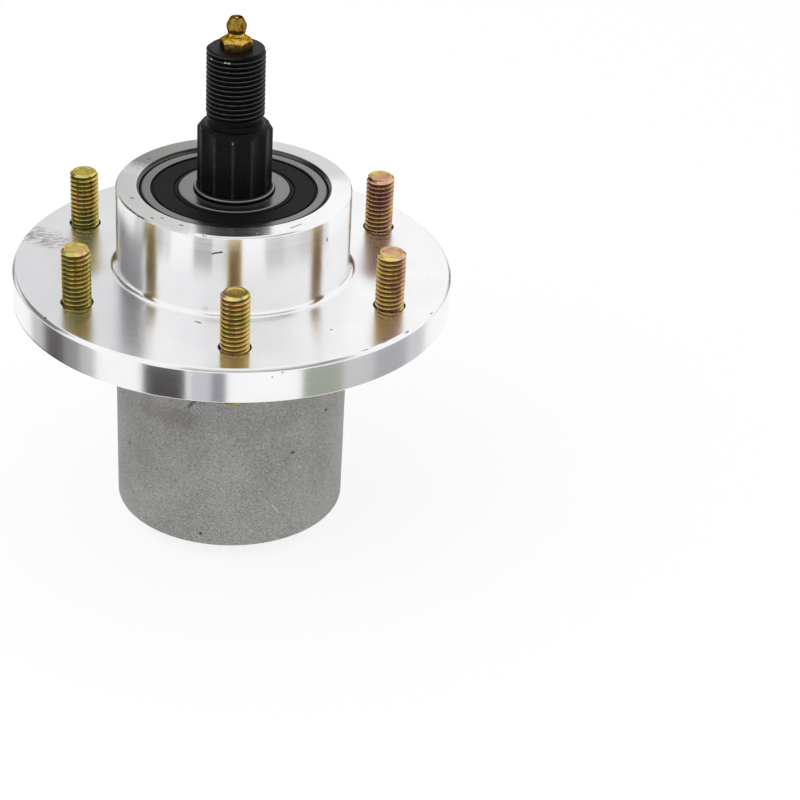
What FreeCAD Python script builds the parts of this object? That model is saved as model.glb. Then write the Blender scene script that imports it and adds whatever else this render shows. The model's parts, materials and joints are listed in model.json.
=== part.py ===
import FreeCAD, Part
import math
import os

# Mower deck spindle, in millimetres.
# The Z axis is the shaft axis, and z = 0 is the flange's upper face, which seats under the mower deck.

V = FreeCAD.Vector
UP = V(0, 0, 1)
CENTRE = V(0, 0, 0)
INCH = 25.4

# Housing casting
FLANGE_RADIUS = 73.025
FLANGE_THICKNESS = 11.8
FLANGE_TOP_CHAMFER = 1.0
FLANGE_BOTTOM_CHAMFER = 0.3
HUB_WALL = 7.78
HUB_HEIGHT = 28.5
HUB_TOP_CHAMFER = 0.5
HUB_FOOT_FILLET = 2.0
BARREL_DEPTH = 87.7
BARREL_WALL = 8.23
BARREL_DRAFT = 0.3
BARREL_ROOT_FILLET = 1.5
BARREL_FOOT_ROUND = 0.8
BORE_MOUTH_CHAMFER = 1.0
BEARING_RECESS = 0.9
BEARING_SHOULDER = 4.0
CAST_PAD_RADIUS = 8.0
CAST_PAD_RELIEF = 0.6
CAST_PAD_DROP = 16.1
CAST_PAD_ANGLE = -118.0

# Deck studs, 3/8-16, pressed up through the flange
STUD_DIAMETER = 0.375 * INCH
STUD_COUNT = 6
STUD_CIRCLE_DIAMETER = 116.4
STUD_FIRST_ANGLE = -90.0
STUD_REACH = 19.4
STUD_LEAD = 0.9
STUD_HOLE_CLEARANCE = 0.29
STUD_NECK_LENGTH = 6.0
STUD_RELIEF_DIAMETER = 8.5
STUD_RELIEF_COVER = 0.05
STUD_HEAD_DIAMETER = 13.5
STUD_HEAD_THICKNESS = 5.7
STUD_HEAD_CHAMFER = 0.4

# Ball bearings of 25 x 62 x 17 size
BEARING_BORE = 25.0
BEARING_DIAMETER = 62.0
BEARING_WIDTH = 17.0
BEARING_CORNER = 1.1
LAND_CORNER = 0.3
LAND_SPACING = 6.9
BALL_DIAMETER = 11.5
BALL_COUNT = 7
BALL_CLEARANCE = 0.04
GROOVE_CONFORMITY = 0.52
CAGE_SHEET = 0.7
CAGE_POCKET_CLEARANCE = 0.15
CAGE_RIBBON_WIDTH = 4.2
RIVET_DIAMETER = 1.5
RIVET_HEAD_DIAMETER = 2.4
RIVET_HEAD_HEIGHT = 0.5
SEAL_STEP = 2.2
SEAL_RECESS = 0.35
SEAL_CAGE_GAP = 0.35
SEAL_LIP_CLEARANCE = 0.1
SEAL_LIP_WIDTH = 1.1
SEAL_GROOVE_WIDTH = 0.5
SEAL_GROOVE_SHARE = 0.45
SEAL_RIM_WIDTH = 0.9
SEAT_CLEARANCE = 0.02

# Spacer between the inner rings
SPACER_WALL = 3.5
SPACER_BORE_CLEARANCE = 0.1
GREASE_PORT_DIAMETER = 5.0

# Shaft
SPLINE_FLUTES = 12
SPLINE_STEP = 0.23
SPLINE_DEPTH = 1.02
SPLINE_RIDGE_WIDTH = 0.6
SPLINE_RIDGE_ANGLE = 26.5
SPLINE_LENGTH = 22.0
SHOULDER_BEVEL = 1.75
JOURNAL_RISE = 1.4
RETAINING_WIRE_DIAMETER = 0.9
RETAINING_RING_PROUD = 0.72
RETAINING_RING_DROP = 0.6
RETAINING_RING_END_ANGLE = 172.0
RETAINING_RING_GAP = 22.0
NUT_THREAD_DIAMETER = 0.75 * INCH
NUT_THREAD_LENGTH = 23.2
NUT_THREAD_CHAMFER = 0.55
NECK_DEPTH = 0.75
NECK_LENGTH = 2.6
GREASE_DRILLING_DIAMETER = 3.2
BOSS_DROP = 7.3
BOSS_SEAL_GAP = 0.8
BOSS_CHAMFER = 0.8
BLADE_BOLT_HOLE_DIAMETER = 13.7
BLADE_BOLT_HOLE_DEPTH = 38.0
BLADE_BOLT_LEAD = 1.2
DRILL_POINT_ANGLE = 118.0

# Grease fitting, 1/4-28
FITTING_THREAD_DIAMETER = 0.25 * INCH
FITTING_THREAD_LENGTH = 5.6
FITTING_HEX = 9.5
FITTING_CORNER_HEIGHT = 2.2
FITTING_HEX_ANGLE = -74.4
FITTING_CONE_HEIGHT = 1.9
FITTING_NECK_DIAMETER = 5.5
FITTING_NECK_HEIGHT = 1.0
FITTING_HEAD_DIAMETER = 6.5
FITTING_HEAD_FLARE = 1.7
FITTING_HEAD_BAND = 0.9
FITTING_HEAD_TAPER = 2.5
FITTING_TIP_DIAMETER = 4.0
FITTING_MOUTH_DIAMETER = 1.5
FITTING_MOUTH_DEPTH = 0.4
FITTING_STOP_HEIGHT = 0.6
FITTING_STOP_BORE = 1.4
CHECK_BALL_DIAMETER = 2.2
CHECK_BALL_CLEARANCE = 0.15
CHECK_SEAT_GAP = 0.03
SPRING_WIRE_DIAMETER = 0.32
SPRING_WALL_GAP = 0.12
SPRING_TURNS = 7

# Heights worked out from the sizes above
upper_bearing_top = HUB_HEIGHT - BEARING_RECESS
upper_shoulder = upper_bearing_top - BEARING_WIDTH
barrel_bottom = -BARREL_DEPTH
lower_bearing_bottom = barrel_bottom + BEARING_RECESS
lower_shoulder = lower_bearing_bottom + BEARING_WIDTH
boss_bottom = barrel_bottom - BOSS_DROP
journal_top = upper_bearing_top + JOURNAL_RISE
retaining_ring_height = journal_top - RETAINING_RING_DROP
shoulder_height = journal_top + SPLINE_LENGTH
neck_top = shoulder_height + NECK_LENGTH
shaft_top = neck_top + NUT_THREAD_LENGTH
port_height = (upper_shoulder + lower_shoulder) / 2
fitting_foot = shaft_top - FITTING_THREAD_LENGTH
hex_corner_top = shaft_top + FITTING_CORNER_HEIGHT
cone_top = hex_corner_top + FITTING_CONE_HEIGHT
fitting_neck_top = cone_top + FITTING_NECK_HEIGHT
head_low = fitting_neck_top + FITTING_HEAD_FLARE
head_high = head_low + FITTING_HEAD_BAND
fitting_top = head_high + FITTING_HEAD_TAPER
chamber_floor = fitting_foot + FITTING_STOP_HEIGHT
mouth_edge = fitting_top - FITTING_MOUTH_DEPTH

# Radii worked out from the sizes above
bearing_seat_radius = BEARING_DIAMETER / 2 + SEAT_CLEARANCE
hub_radius = bearing_seat_radius + HUB_WALL
barrel_top_radius = bearing_seat_radius + BARREL_WALL
cavity_radius = BEARING_DIAMETER / 2 - BEARING_SHOULDER
stud_hole_radius = STUD_DIAMETER / 2 + STUD_HOLE_CLEARANCE
stud_circle_radius = STUD_CIRCLE_DIAMETER / 2
pitch_radius = (BEARING_BORE + BEARING_DIAMETER) / 4
ball_radius = BALL_DIAMETER / 2
inner_land_radius = pitch_radius - LAND_SPACING / 2
outer_land_radius = pitch_radius + LAND_SPACING / 2
seal_step_radius = outer_land_radius + SEAL_STEP
journal_radius = BEARING_BORE / 2 - SEAT_CLEARANCE
spline_tip_radius = journal_radius - SPLINE_STEP
spline_root_radius = spline_tip_radius - SPLINE_DEPTH
nut_thread_radius = NUT_THREAD_DIAMETER / 2
retaining_ring_radius = journal_radius + RETAINING_RING_PROUD - RETAINING_WIRE_DIAMETER / 2
boss_radius = inner_land_radius - BOSS_SEAL_GAP
check_chamber_radius = CHECK_BALL_DIAMETER / 2 + CHECK_BALL_CLEARANCE
mouth_radius = FITTING_MOUTH_DIAMETER / 2

# The check ball rests a hair below the 45 degree seat that leads to the fitting's mouth
check_ball_height = mouth_edge + mouth_radius - math.sqrt(2) * (CHECK_BALL_DIAMETER / 2 + CHECK_SEAT_GAP)

# The seal's inner side stands clear of the cage, measured from the bearing's middle plane
seal_inside = ball_radius + CAGE_POCKET_CLEARANCE + CAGE_SHEET + SEAL_CAGE_GAP
seal_outside = BEARING_WIDTH / 2 - SEAL_RECESS


def polar(radius, degrees, height=0.0):
    """Point at a radius and an angle round the shaft axis."""
    angle = math.radians(degrees)
    return V(radius * math.cos(angle), radius * math.sin(angle), height)


def round_corner(before, here, after, rounding):
    """Start, middle and end of the tangent arc that rounds one corner of an outline."""
    back = (before - here).normalize()
    on = (after - here).normalize()
    half_angle = back.getAngle(on) / 2
    reach = rounding / math.tan(half_angle)
    bisector = (back + on).normalize()
    middle = here + bisector * (rounding / math.sin(half_angle) - rounding)
    return here + back * reach, middle, here + on * reach


def turned(corners):
    """Solid turned about Z from a closed half section.

    A corner is (radius, height), or (radius, height, rounding) where a tangent arc rounds it.
    """
    points = [V(corner[0], 0, corner[1]) for corner in corners]
    arcs = []
    for index, corner in enumerate(corners):
        here = points[index]
        if len(corner) == 2:
            arcs.append((here, None, here))
        else:
            following = points[(index + 1) % len(points)]
            arcs.append(round_corner(points[index - 1], here, following, corner[2]))
    edges = []
    for index, (start, middle, end) in enumerate(arcs):
        if middle is not None:
            edges.append(Part.Arc(start, middle, end).toShape())
        following = arcs[(index + 1) % len(arcs)][0]
        if end.distanceToPoint(following) > 1e-6:
            edges.append(Part.LineSegment(end, following).toShape())
    return Part.Face(Part.Wire(edges)).revolve(CENTRE, UP, 360)


def tube(inner_radius, outer_radius, bottom, top):
    """Plain ring with square corners."""
    return turned([(inner_radius, bottom), (outer_radius, bottom), (outer_radius, top), (inner_radius, top)])


def moved(shape, offset):
    """Copy of a shape at another place."""
    copy = shape.copy()
    copy.translate(offset)
    return copy


def ring_of(shape, count, radius, first_angle):
    """Copies of a shape on a circle round the shaft axis, all standing the same way."""
    return [moved(shape, polar(radius, first_angle + 360 * index / count)) for index in range(count)]


def spindle_housing():
    """One casting: turned hub and flange, as-cast barrel, and a bored seat for a bearing at each end."""
    bore_mouth_radius = bearing_seat_radius + BORE_MOUTH_CHAMFER
    flange_bottom = -FLANGE_THICKNESS
    body = turned([
        (bore_mouth_radius, HUB_HEIGHT),
        (hub_radius - HUB_TOP_CHAMFER, HUB_HEIGHT),
        (hub_radius, HUB_HEIGHT - HUB_TOP_CHAMFER),
        (hub_radius, 0, HUB_FOOT_FILLET),
        (FLANGE_RADIUS - FLANGE_TOP_CHAMFER, 0),
        (FLANGE_RADIUS, -FLANGE_TOP_CHAMFER),
        (FLANGE_RADIUS, flange_bottom + FLANGE_BOTTOM_CHAMFER),
        (FLANGE_RADIUS - FLANGE_BOTTOM_CHAMFER, flange_bottom),
        (barrel_top_radius, flange_bottom, BARREL_ROOT_FILLET),
        (barrel_top_radius - BARREL_DRAFT, barrel_bottom, BARREL_FOOT_ROUND),
        (bore_mouth_radius, barrel_bottom),
        (bearing_seat_radius, barrel_bottom + BORE_MOUTH_CHAMFER),
        (bearing_seat_radius, lower_shoulder),
        (cavity_radius, lower_shoulder),
        (cavity_radius, upper_shoulder),
        (bearing_seat_radius, upper_shoulder),
        (bearing_seat_radius, HUB_HEIGHT - BORE_MOUTH_CHAMFER),
    ])
    hole = Part.makeCylinder(stud_hole_radius, FLANGE_THICKNESS, V(0, 0, flange_bottom))
    holes = ring_of(hole, STUD_COUNT, stud_circle_radius, STUD_FIRST_ANGLE)
    return body.cut(Part.makeCompound(holes)).fuse(cast_pad()).removeSplitter()


def cast_pad():
    """Low round pad on the barrel, left bare, that follows the barrel's curve."""
    height = -FLANGE_THICKNESS - CAST_PAD_DROP
    face_radius = barrel_top_radius + CAST_PAD_RELIEF
    wall_middle = (barrel_top_radius + bearing_seat_radius) / 2
    plug = Part.makeCylinder(CAST_PAD_RADIUS, face_radius, V(0, 0, height), polar(1, CAST_PAD_ANGLE))
    bottom = height - CAST_PAD_RADIUS
    return plug.common(tube(wall_middle, face_radius, bottom, bottom + 2 * CAST_PAD_RADIUS))


def mounting_studs():
    """Deck studs: a round head below the flange, a neck pressed into it, a relief and the thread above."""
    stud_radius = STUD_DIAMETER / 2
    neck_radius = stud_hole_radius - SEAT_CLEARANCE
    relief_radius = STUD_RELIEF_DIAMETER / 2
    head_radius = STUD_HEAD_DIAMETER / 2
    seat = -FLANGE_THICKNESS
    head_bottom = seat - STUD_HEAD_THICKNESS
    neck_top_height = seat + STUD_NECK_LENGTH
    stud = turned([
        (0, head_bottom),
        (head_radius - STUD_HEAD_CHAMFER, head_bottom),
        (head_radius, head_bottom + STUD_HEAD_CHAMFER),
        (head_radius, seat),
        (neck_radius, seat),
        (neck_radius, neck_top_height),
        (relief_radius, neck_top_height),
        (relief_radius, -STUD_RELIEF_COVER),
        (stud_radius, -STUD_RELIEF_COVER),
        (stud_radius, STUD_REACH - STUD_LEAD),
        (stud_radius - STUD_LEAD, STUD_REACH),
        (0, STUD_REACH),
    ])
    return Part.makeCompound(ring_of(stud, STUD_COUNT, stud_circle_radius, STUD_FIRST_ANGLE))


def outer_ring():
    """Bearing outer ring with a raceway, and a step on each side that the seal snaps into."""
    half = BEARING_WIDTH / 2
    outside = BEARING_DIAMETER / 2
    blank = turned([
        (outside - BEARING_CORNER, -half),
        (outside, -half + BEARING_CORNER),
        (outside, half - BEARING_CORNER),
        (outside - BEARING_CORNER, half),
        (seal_step_radius + LAND_CORNER, half),
        (seal_step_radius, half - LAND_CORNER),
        (seal_step_radius, seal_inside),
        (outer_land_radius, seal_inside),
        (outer_land_radius, -seal_inside),
        (seal_step_radius, -seal_inside),
        (seal_step_radius, -half + LAND_CORNER),
        (seal_step_radius + LAND_CORNER, -half),
    ])
    groove_radius = GROOVE_CONFORMITY * BALL_DIAMETER
    groove_circle = pitch_radius + ball_radius + BALL_CLEARANCE - groove_radius
    return blank.cut(Part.makeTorus(groove_circle, groove_radius))


def inner_ring():
    """Bearing inner ring with a raceway and chamfered bore."""
    half = BEARING_WIDTH / 2
    bore = BEARING_BORE / 2
    blank = turned([
        (bore + BEARING_CORNER, -half),
        (inner_land_radius - LAND_CORNER, -half),
        (inner_land_radius, -half + LAND_CORNER),
        (inner_land_radius, half - LAND_CORNER),
        (inner_land_radius - LAND_CORNER, half),
        (bore + BEARING_CORNER, half),
        (bore, half - BEARING_CORNER),
        (bore, -half + BEARING_CORNER),
    ])
    groove_radius = GROOVE_CONFORMITY * BALL_DIAMETER
    groove_circle = pitch_radius - ball_radius - BALL_CLEARANCE + groove_radius
    return blank.cut(Part.makeTorus(groove_circle, groove_radius))


def bearing_balls():
    """Row of balls on the pitch circle."""
    return Part.makeCompound(ring_of(Part.makeSphere(ball_radius), BALL_COUNT, pitch_radius, 0))


def cage_half():
    """Upper half of the pressed ribbon cage: a dome over each ball, joined by flats with a rivet hole."""
    inside = pitch_radius - CAGE_RIBBON_WIDTH / 2
    outside = pitch_radius + CAGE_RIBBON_WIDTH / 2
    pocket_radius = ball_radius + CAGE_POCKET_CLEARANCE
    dome_radius = pocket_radius + CAGE_SHEET
    ribbon = tube(inside, outside, 0, CAGE_SHEET)
    band = tube(inside, outside, 0, dome_radius)
    domes = ring_of(Part.makeSphere(dome_radius), BALL_COUNT, pitch_radius, 0)
    pockets = ring_of(Part.makeSphere(pocket_radius), BALL_COUNT, pitch_radius, 0)
    hole = Part.makeCylinder(RIVET_DIAMETER / 2 + SEAT_CLEARANCE, CAGE_SHEET)
    holes = ring_of(hole, BALL_COUNT, pitch_radius, 180 / BALL_COUNT)
    pressed = ribbon.fuse([dome.common(band) for dome in domes])
    return pressed.cut(Part.makeCompound(pockets)).cut(Part.makeCompound(holes)).removeSplitter()


def cage_rivets():
    """Rivets through the flats of both cage halves."""
    shank = RIVET_DIAMETER / 2
    head = RIVET_HEAD_DIAMETER / 2
    tip = CAGE_SHEET + RIVET_HEAD_HEIGHT
    rivet = turned([
        (0, -tip),
        (head, -tip, RIVET_HEAD_HEIGHT / 2),
        (head, -CAGE_SHEET),
        (shank, -CAGE_SHEET),
        (shank, CAGE_SHEET),
        (head, CAGE_SHEET),
        (head, tip, RIVET_HEAD_HEIGHT / 2),
        (0, tip),
    ])
    return Part.makeCompound(ring_of(rivet, BALL_COUNT, pitch_radius, 180 / BALL_COUNT))


def bearing_seal():
    """Rubber seal on the bearing's upper side: a rim in the outer ring's step and a lip at the inner ring."""
    lip = inner_land_radius + SEAL_LIP_CLEARANCE
    lip_back = lip + SEAL_LIP_WIDTH
    groove_back = lip_back + SEAL_GROOVE_WIDTH
    rim = seal_step_radius - SEAT_CLEARANCE
    groove_floor = seal_outside - SEAL_GROOVE_SHARE * (seal_outside - seal_inside)
    return turned([
        (lip, seal_inside),
        (rim, seal_inside),
        (rim, groove_floor),
        (rim - SEAL_RIM_WIDTH, groove_floor),
        (rim - SEAL_RIM_WIDTH, seal_outside),
        (groove_back, seal_outside),
        (groove_back, groove_floor),
        (lip_back, groove_floor),
        (lip_back, seal_outside),
        (lip, seal_outside),
    ])


def turned_over(shape):
    """Copy of a shape mirrored in the bearing's middle plane."""
    return shape.mirror(CENTRE, UP)


def bearing_pieces(middle):
    """Pieces of one bearing by name, with its middle plane at a height."""
    seal = bearing_seal()
    cage = cage_half()
    pieces = {
        "outer_ring": outer_ring(),
        "inner_ring": inner_ring(),
        "balls": bearing_balls(),
        "cage_top": cage,
        "cage_bottom": turned_over(cage),
        "cage_rivets": cage_rivets(),
        "seal_top": seal,
        "seal_bottom": turned_over(seal),
    }
    return {name: moved(piece, V(0, 0, middle)) for name, piece in pieces.items()}


def bearing_spacer():
    """Tube between the two inner rings, with a port across it for the grease."""
    inside = journal_radius + SPACER_BORE_CLEARANCE
    outside = inside + SPACER_WALL
    port = Part.makeCylinder(GREASE_PORT_DIAMETER / 2, 2 * outside, V(-outside, 0, port_height), V(1, 0, 0))
    return tube(inside, outside, lower_shoulder, upper_shoulder).cut(port)


def spline_flutes():
    """Round-bottomed flutes that leave a narrow ridge between neighbours."""
    half_ridge = SPLINE_RIDGE_WIDTH / 2 / spline_tip_radius
    edge = polar(spline_tip_radius, 180 / SPLINE_FLUTES - math.degrees(half_ridge))
    rise = edge.x - spline_root_radius
    flute_radius = (rise ** 2 + edge.y ** 2) / (2 * rise)
    flute = Part.makeCylinder(flute_radius, SPLINE_LENGTH, V(0, 0, journal_top))
    first_angle = SPLINE_RIDGE_ANGLE + 180 / SPLINE_FLUTES
    return Part.makeCompound(ring_of(flute, SPLINE_FLUTES, spline_root_radius + flute_radius, first_angle))


def shaft_drillings():
    """Tapped hole for the fitting, grease way down to a cross hole, and the blade bolt's hole from below."""
    drill = GREASE_DRILLING_DIAMETER / 2
    tapped = FITTING_THREAD_DIAMETER / 2 + SEAT_CLEARANCE
    grease_way = turned([
        (0, port_height),
        (drill, port_height),
        (drill, fitting_foot),
        (tapped, fitting_foot),
        (tapped, shaft_top),
        (0, shaft_top),
    ])
    cross_hole = Part.makeCylinder(
        drill, 2 * journal_radius, V(-journal_radius, 0, port_height), V(1, 0, 0))
    bolt = BLADE_BOLT_HOLE_DIAMETER / 2
    bolt_floor = boss_bottom + BLADE_BOLT_HOLE_DEPTH
    point_height = bolt / math.tan(math.radians(DRILL_POINT_ANGLE / 2))
    bolt_hole = turned([
        (0, boss_bottom),
        (bolt + BLADE_BOLT_LEAD, boss_bottom),
        (bolt, boss_bottom + BLADE_BOLT_LEAD),
        (bolt, bolt_floor),
        (0, bolt_floor + point_height),
    ])
    return [grease_way, cross_hole, bolt_hole]


def spindle_shaft():
    """Shaft from the blade boss up: journals, ring groove, fluted drive, bevelled shoulder and nut thread."""
    neck = nut_thread_radius - NECK_DEPTH
    blank = turned([
        (0, boss_bottom),
        (boss_radius - BOSS_CHAMFER, boss_bottom),
        (boss_radius, boss_bottom + BOSS_CHAMFER),
        (boss_radius, lower_bearing_bottom - BOSS_CHAMFER),
        (boss_radius - BOSS_CHAMFER, lower_bearing_bottom),
        (journal_radius, lower_bearing_bottom),
        (journal_radius, journal_top - SPLINE_STEP),
        (spline_tip_radius, journal_top),
        (spline_tip_radius, shoulder_height - SHOULDER_BEVEL),
        (spline_tip_radius - SHOULDER_BEVEL, shoulder_height),
        (neck, shoulder_height),
        (neck, neck_top),
        (nut_thread_radius, neck_top + NECK_DEPTH),
        (nut_thread_radius, shaft_top - NUT_THREAD_CHAMFER),
        (nut_thread_radius - NUT_THREAD_CHAMFER, shaft_top),
        (0, shaft_top),
    ])
    groove = Part.makeTorus(
        retaining_ring_radius, RETAINING_WIRE_DIAMETER / 2 + SEAT_CLEARANCE, V(0, 0, retaining_ring_height))
    return blank.cut(spline_flutes()).cut(groove).cut(shaft_drillings())


def retaining_ring():
    """Open ring of round wire that snaps into the journal's groove above the upper bearing."""
    start = polar(retaining_ring_radius, RETAINING_RING_END_ANGLE, retaining_ring_height)
    along = polar(1, RETAINING_RING_END_ANGLE + 90)
    section = Part.Face(Part.Wire(Part.Circle(start, along, RETAINING_WIRE_DIAMETER / 2).toShape()))
    return section.revolve(CENTRE, UP, 360 - RETAINING_RING_GAP)


def grease_fitting_body():
    """Straight grease nipple: thread, coned hexagon, neck and coupler head, bored for the check ball."""
    thread = FITTING_THREAD_DIAMETER / 2
    spindle = turned([
        (0, fitting_foot),
        (thread, fitting_foot),
        (thread, shaft_top),
        (FITTING_NECK_DIAMETER / 2, shaft_top),
        (FITTING_NECK_DIAMETER / 2, fitting_neck_top),
        (FITTING_HEAD_DIAMETER / 2, head_low),
        (FITTING_HEAD_DIAMETER / 2, head_high),
        (FITTING_TIP_DIAMETER / 2, fitting_top),
        (0, fitting_top),
    ])
    channel = turned([
        (0, fitting_foot),
        (FITTING_STOP_BORE / 2, fitting_foot),
        (FITTING_STOP_BORE / 2, chamber_floor),
        (check_chamber_radius, chamber_floor),
        (check_chamber_radius, mouth_edge - (check_chamber_radius - mouth_radius)),
        (mouth_radius, mouth_edge),
        (mouth_radius, fitting_top),
        (0, fitting_top),
    ])
    return spindle.fuse(fitting_hexagon()).removeSplitter().cut(channel)


def fitting_hexagon():
    """Hexagon of the fitting, turned to a cone that runs from its corners up to the neck."""
    corner_radius = FITTING_HEX / math.sqrt(3)
    corners = [polar(corner_radius, FITTING_HEX_ANGLE + 60 * index, shaft_top) for index in range(6)]
    prism = Part.Face(Part.makePolygon(corners + corners[:1])).extrude(V(0, 0, cone_top - shaft_top))
    crown = turned([
        (0, shaft_top),
        (corner_radius, shaft_top),
        (corner_radius, hex_corner_top),
        (FITTING_NECK_DIAMETER / 2, cone_top),
        (0, cone_top),
    ])
    return prism.common(crown)


def grease_check_ball():
    """Ball that closes the fitting's mouth."""
    return Part.makeSphere(CHECK_BALL_DIAMETER / 2, V(0, 0, check_ball_height))


def grease_spring():
    """Coil spring from the chamber's floor up to the check ball."""
    wire = SPRING_WIRE_DIAMETER / 2
    coil = check_chamber_radius - SPRING_WALL_GAP - wire
    touch = CHECK_BALL_DIAMETER / 2 + wire + CHECK_SEAT_GAP
    bottom = chamber_floor + wire
    top = check_ball_height - math.sqrt(touch ** 2 - coil ** 2)
    helix = Part.makeHelix((top - bottom) / SPRING_TURNS, top - bottom, coil)
    section = Part.Wire(Part.Circle(V(coil, 0, 0), V(0, 1, 0), wire).toShape())
    spring = Part.Wire(helix).makePipeShell([section], True, True)
    return moved(spring, V(0, 0, bottom))


def all_pieces():
    """Every piece of the spindle by its node name."""
    pieces = {
        "spindle_housing": spindle_housing(),
        "spindle_shaft": spindle_shaft(),
        "retaining_ring": retaining_ring(),
        "bearing_spacer": bearing_spacer(),
        "mounting_studs": mounting_studs(),
        "grease_fitting_body": grease_fitting_body(),
        "grease_check_ball": grease_check_ball(),
        "grease_spring": grease_spring(),
    }
    middles = {
        "upper": upper_bearing_top - BEARING_WIDTH / 2,
        "lower": lower_bearing_bottom + BEARING_WIDTH / 2,
    }
    for place, middle in middles.items():
        for name, piece in bearing_pieces(middle).items():
            pieces[f"{place}_{name}"] = piece
    return pieces


os.makedirs("parts", exist_ok=True)
for node, shape in all_pieces().items():
    print(node, shape.isValid(), len(shape.Solids), round(shape.Volume, 2))
    shape.exportStep(f"parts/{node}.step")
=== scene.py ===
# %% [markdown]
# # Mower deck spindle
#
# A spindle carries a mower blade below the deck and is driven from above it. This one has a turned
# aluminium housing with six yellow studs, and a black steel shaft on two sealed ball bearings.
# The solids are loaded as a fixed frame. Each visible piece is then modelled again over its solid, with
# smooth turned surfaces, small edge roundings and real threads, and each one gets a finish of its own.

# %% Load the frame
import json
import math

import bmesh
import bpy
from mathutils import Matrix, Vector


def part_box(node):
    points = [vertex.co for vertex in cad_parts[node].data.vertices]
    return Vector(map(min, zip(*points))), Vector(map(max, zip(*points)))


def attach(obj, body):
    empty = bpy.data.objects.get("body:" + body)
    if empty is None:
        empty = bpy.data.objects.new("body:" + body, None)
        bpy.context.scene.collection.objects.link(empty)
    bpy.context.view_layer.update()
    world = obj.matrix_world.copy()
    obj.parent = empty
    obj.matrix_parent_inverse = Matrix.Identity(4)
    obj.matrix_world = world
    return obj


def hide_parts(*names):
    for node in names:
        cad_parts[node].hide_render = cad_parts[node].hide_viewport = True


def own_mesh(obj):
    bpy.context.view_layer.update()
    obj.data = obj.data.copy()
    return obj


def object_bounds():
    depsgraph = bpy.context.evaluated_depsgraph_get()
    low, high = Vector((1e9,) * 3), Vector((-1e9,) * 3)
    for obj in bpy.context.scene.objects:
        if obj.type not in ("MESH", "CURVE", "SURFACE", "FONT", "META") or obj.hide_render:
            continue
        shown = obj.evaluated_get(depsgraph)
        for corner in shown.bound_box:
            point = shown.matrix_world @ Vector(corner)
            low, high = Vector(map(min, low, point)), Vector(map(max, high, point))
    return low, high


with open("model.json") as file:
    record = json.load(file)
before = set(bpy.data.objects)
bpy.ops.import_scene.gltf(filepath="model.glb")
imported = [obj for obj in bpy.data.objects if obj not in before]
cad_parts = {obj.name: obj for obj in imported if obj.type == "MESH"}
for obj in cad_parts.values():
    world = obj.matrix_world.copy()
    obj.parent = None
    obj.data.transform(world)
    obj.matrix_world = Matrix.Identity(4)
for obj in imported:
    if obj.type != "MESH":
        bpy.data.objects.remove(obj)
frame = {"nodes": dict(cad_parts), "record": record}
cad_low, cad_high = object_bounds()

MM = 0.001
print("frame from", tuple(cad_low), "to", tuple(cad_high))

# %% [markdown]
# ## Sizes
#
# The sizes come from the frame where it states them: the box of a node, or the size of a mount. Only the
# small steps between those sizes are typed here. All of them are in millimetres, because a bevel of 0.2 is
# easier to judge than one of 0.0002, and each mesh is scaled to metres when it is finished.

# %% Sizes from the frame
mounts = {mount["name"]: mount["dims"] for mount in frame["record"]["mounts"]}


def box_mm(node):
    """Lowest and highest corner of a solid in millimetres."""
    low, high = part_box(node)
    return Vector(low) / MM, Vector(high) / MM


housing_low, housing_high = box_mm("spindle_housing")
shaft_high = box_mm("spindle_shaft")[1]
studs_low, studs_high = box_mm("mounting_studs")
fitting_low, fitting_high = box_mm("grease_fitting_body")
FLANGE_RADIUS = housing_high.x
HUB_TOP = housing_high.z
BARREL_BOTTOM = housing_low.z
HUB_RADIUS = mounts["hub_pilot"]["r_mm"]
STUD_RADIUS = mounts["deck_studs"]["stud_r_mm"]
STUD_CIRCLE = mounts["deck_studs"]["pcd_mm"] / 2
STUD_COUNT = mounts["deck_studs"]["count"]
STUD_TOP = studs_high.z
STUD_HOLE_RADIUS = STUD_RADIUS + 0.29
stud_angles = [math.radians(-90 + 360 * index / STUD_COUNT) for index in range(STUD_COUNT)]
stud_places = [Vector((math.cos(angle), math.sin(angle), 0)) * STUD_CIRCLE for angle in stud_angles]
NUT_THREAD_RADIUS = mounts["pulley_nut_thread"]["r_mm"]
BOLT_HOLE_RADIUS = mounts["blade_bolt_hole"]["r_mm"]
SHAFT_TOP = shaft_high.z
FLOOR = cad_low.z / MM
FLANGE_THICKNESS = 11.8
RING_OUTSIDE = 31.0
RING_BORE = 12.5
BEARING_SEAT_RADIUS = RING_OUTSIDE + 0.02
BORE_CHAMFER = 1.0
BORE_MOUTH = BEARING_SEAT_RADIUS + BORE_CHAMFER
THREAD_PITCH = 25.4 / 16
THREAD_DEPTH = 0.6 * THREAD_PITCH
print("flange radius", FLANGE_RADIUS, "hub radius", HUB_RADIUS, "floor", FLOOR)

# %% [markdown]
# ## Camera
#
# The camera was fitted to the ellipses of the flange, hub, bearing and barrel. It stands 0.8 m away and
# looks down at 30 degrees. A matrix built from its right, up and backward directions places it exactly.

# %% Camera
camera = bpy.data.objects.new("camera", bpy.data.cameras.new("camera"))
bpy.context.scene.collection.objects.link(camera)
camera.data.sensor_width = 36.0
camera.data.lens = 107.05
camera.data.clip_start = 0.05
right = Vector((0.99646, -0.06882, 0.04821)).normalized()
forward = Vector((0.08373, 0.86152, -0.50078)).normalized()
up = right.cross(forward)
turn = Matrix((right, up, -forward)).transposed().to_4x4()
camera.matrix_world = Matrix.Translation(Vector((-10.68, -711.523, 361.005)) * MM) @ turn
bpy.context.scene.camera = camera
bpy.context.scene.view_settings.view_transform = "Standard"
print("camera", tuple(camera.matrix_world.translation))

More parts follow.
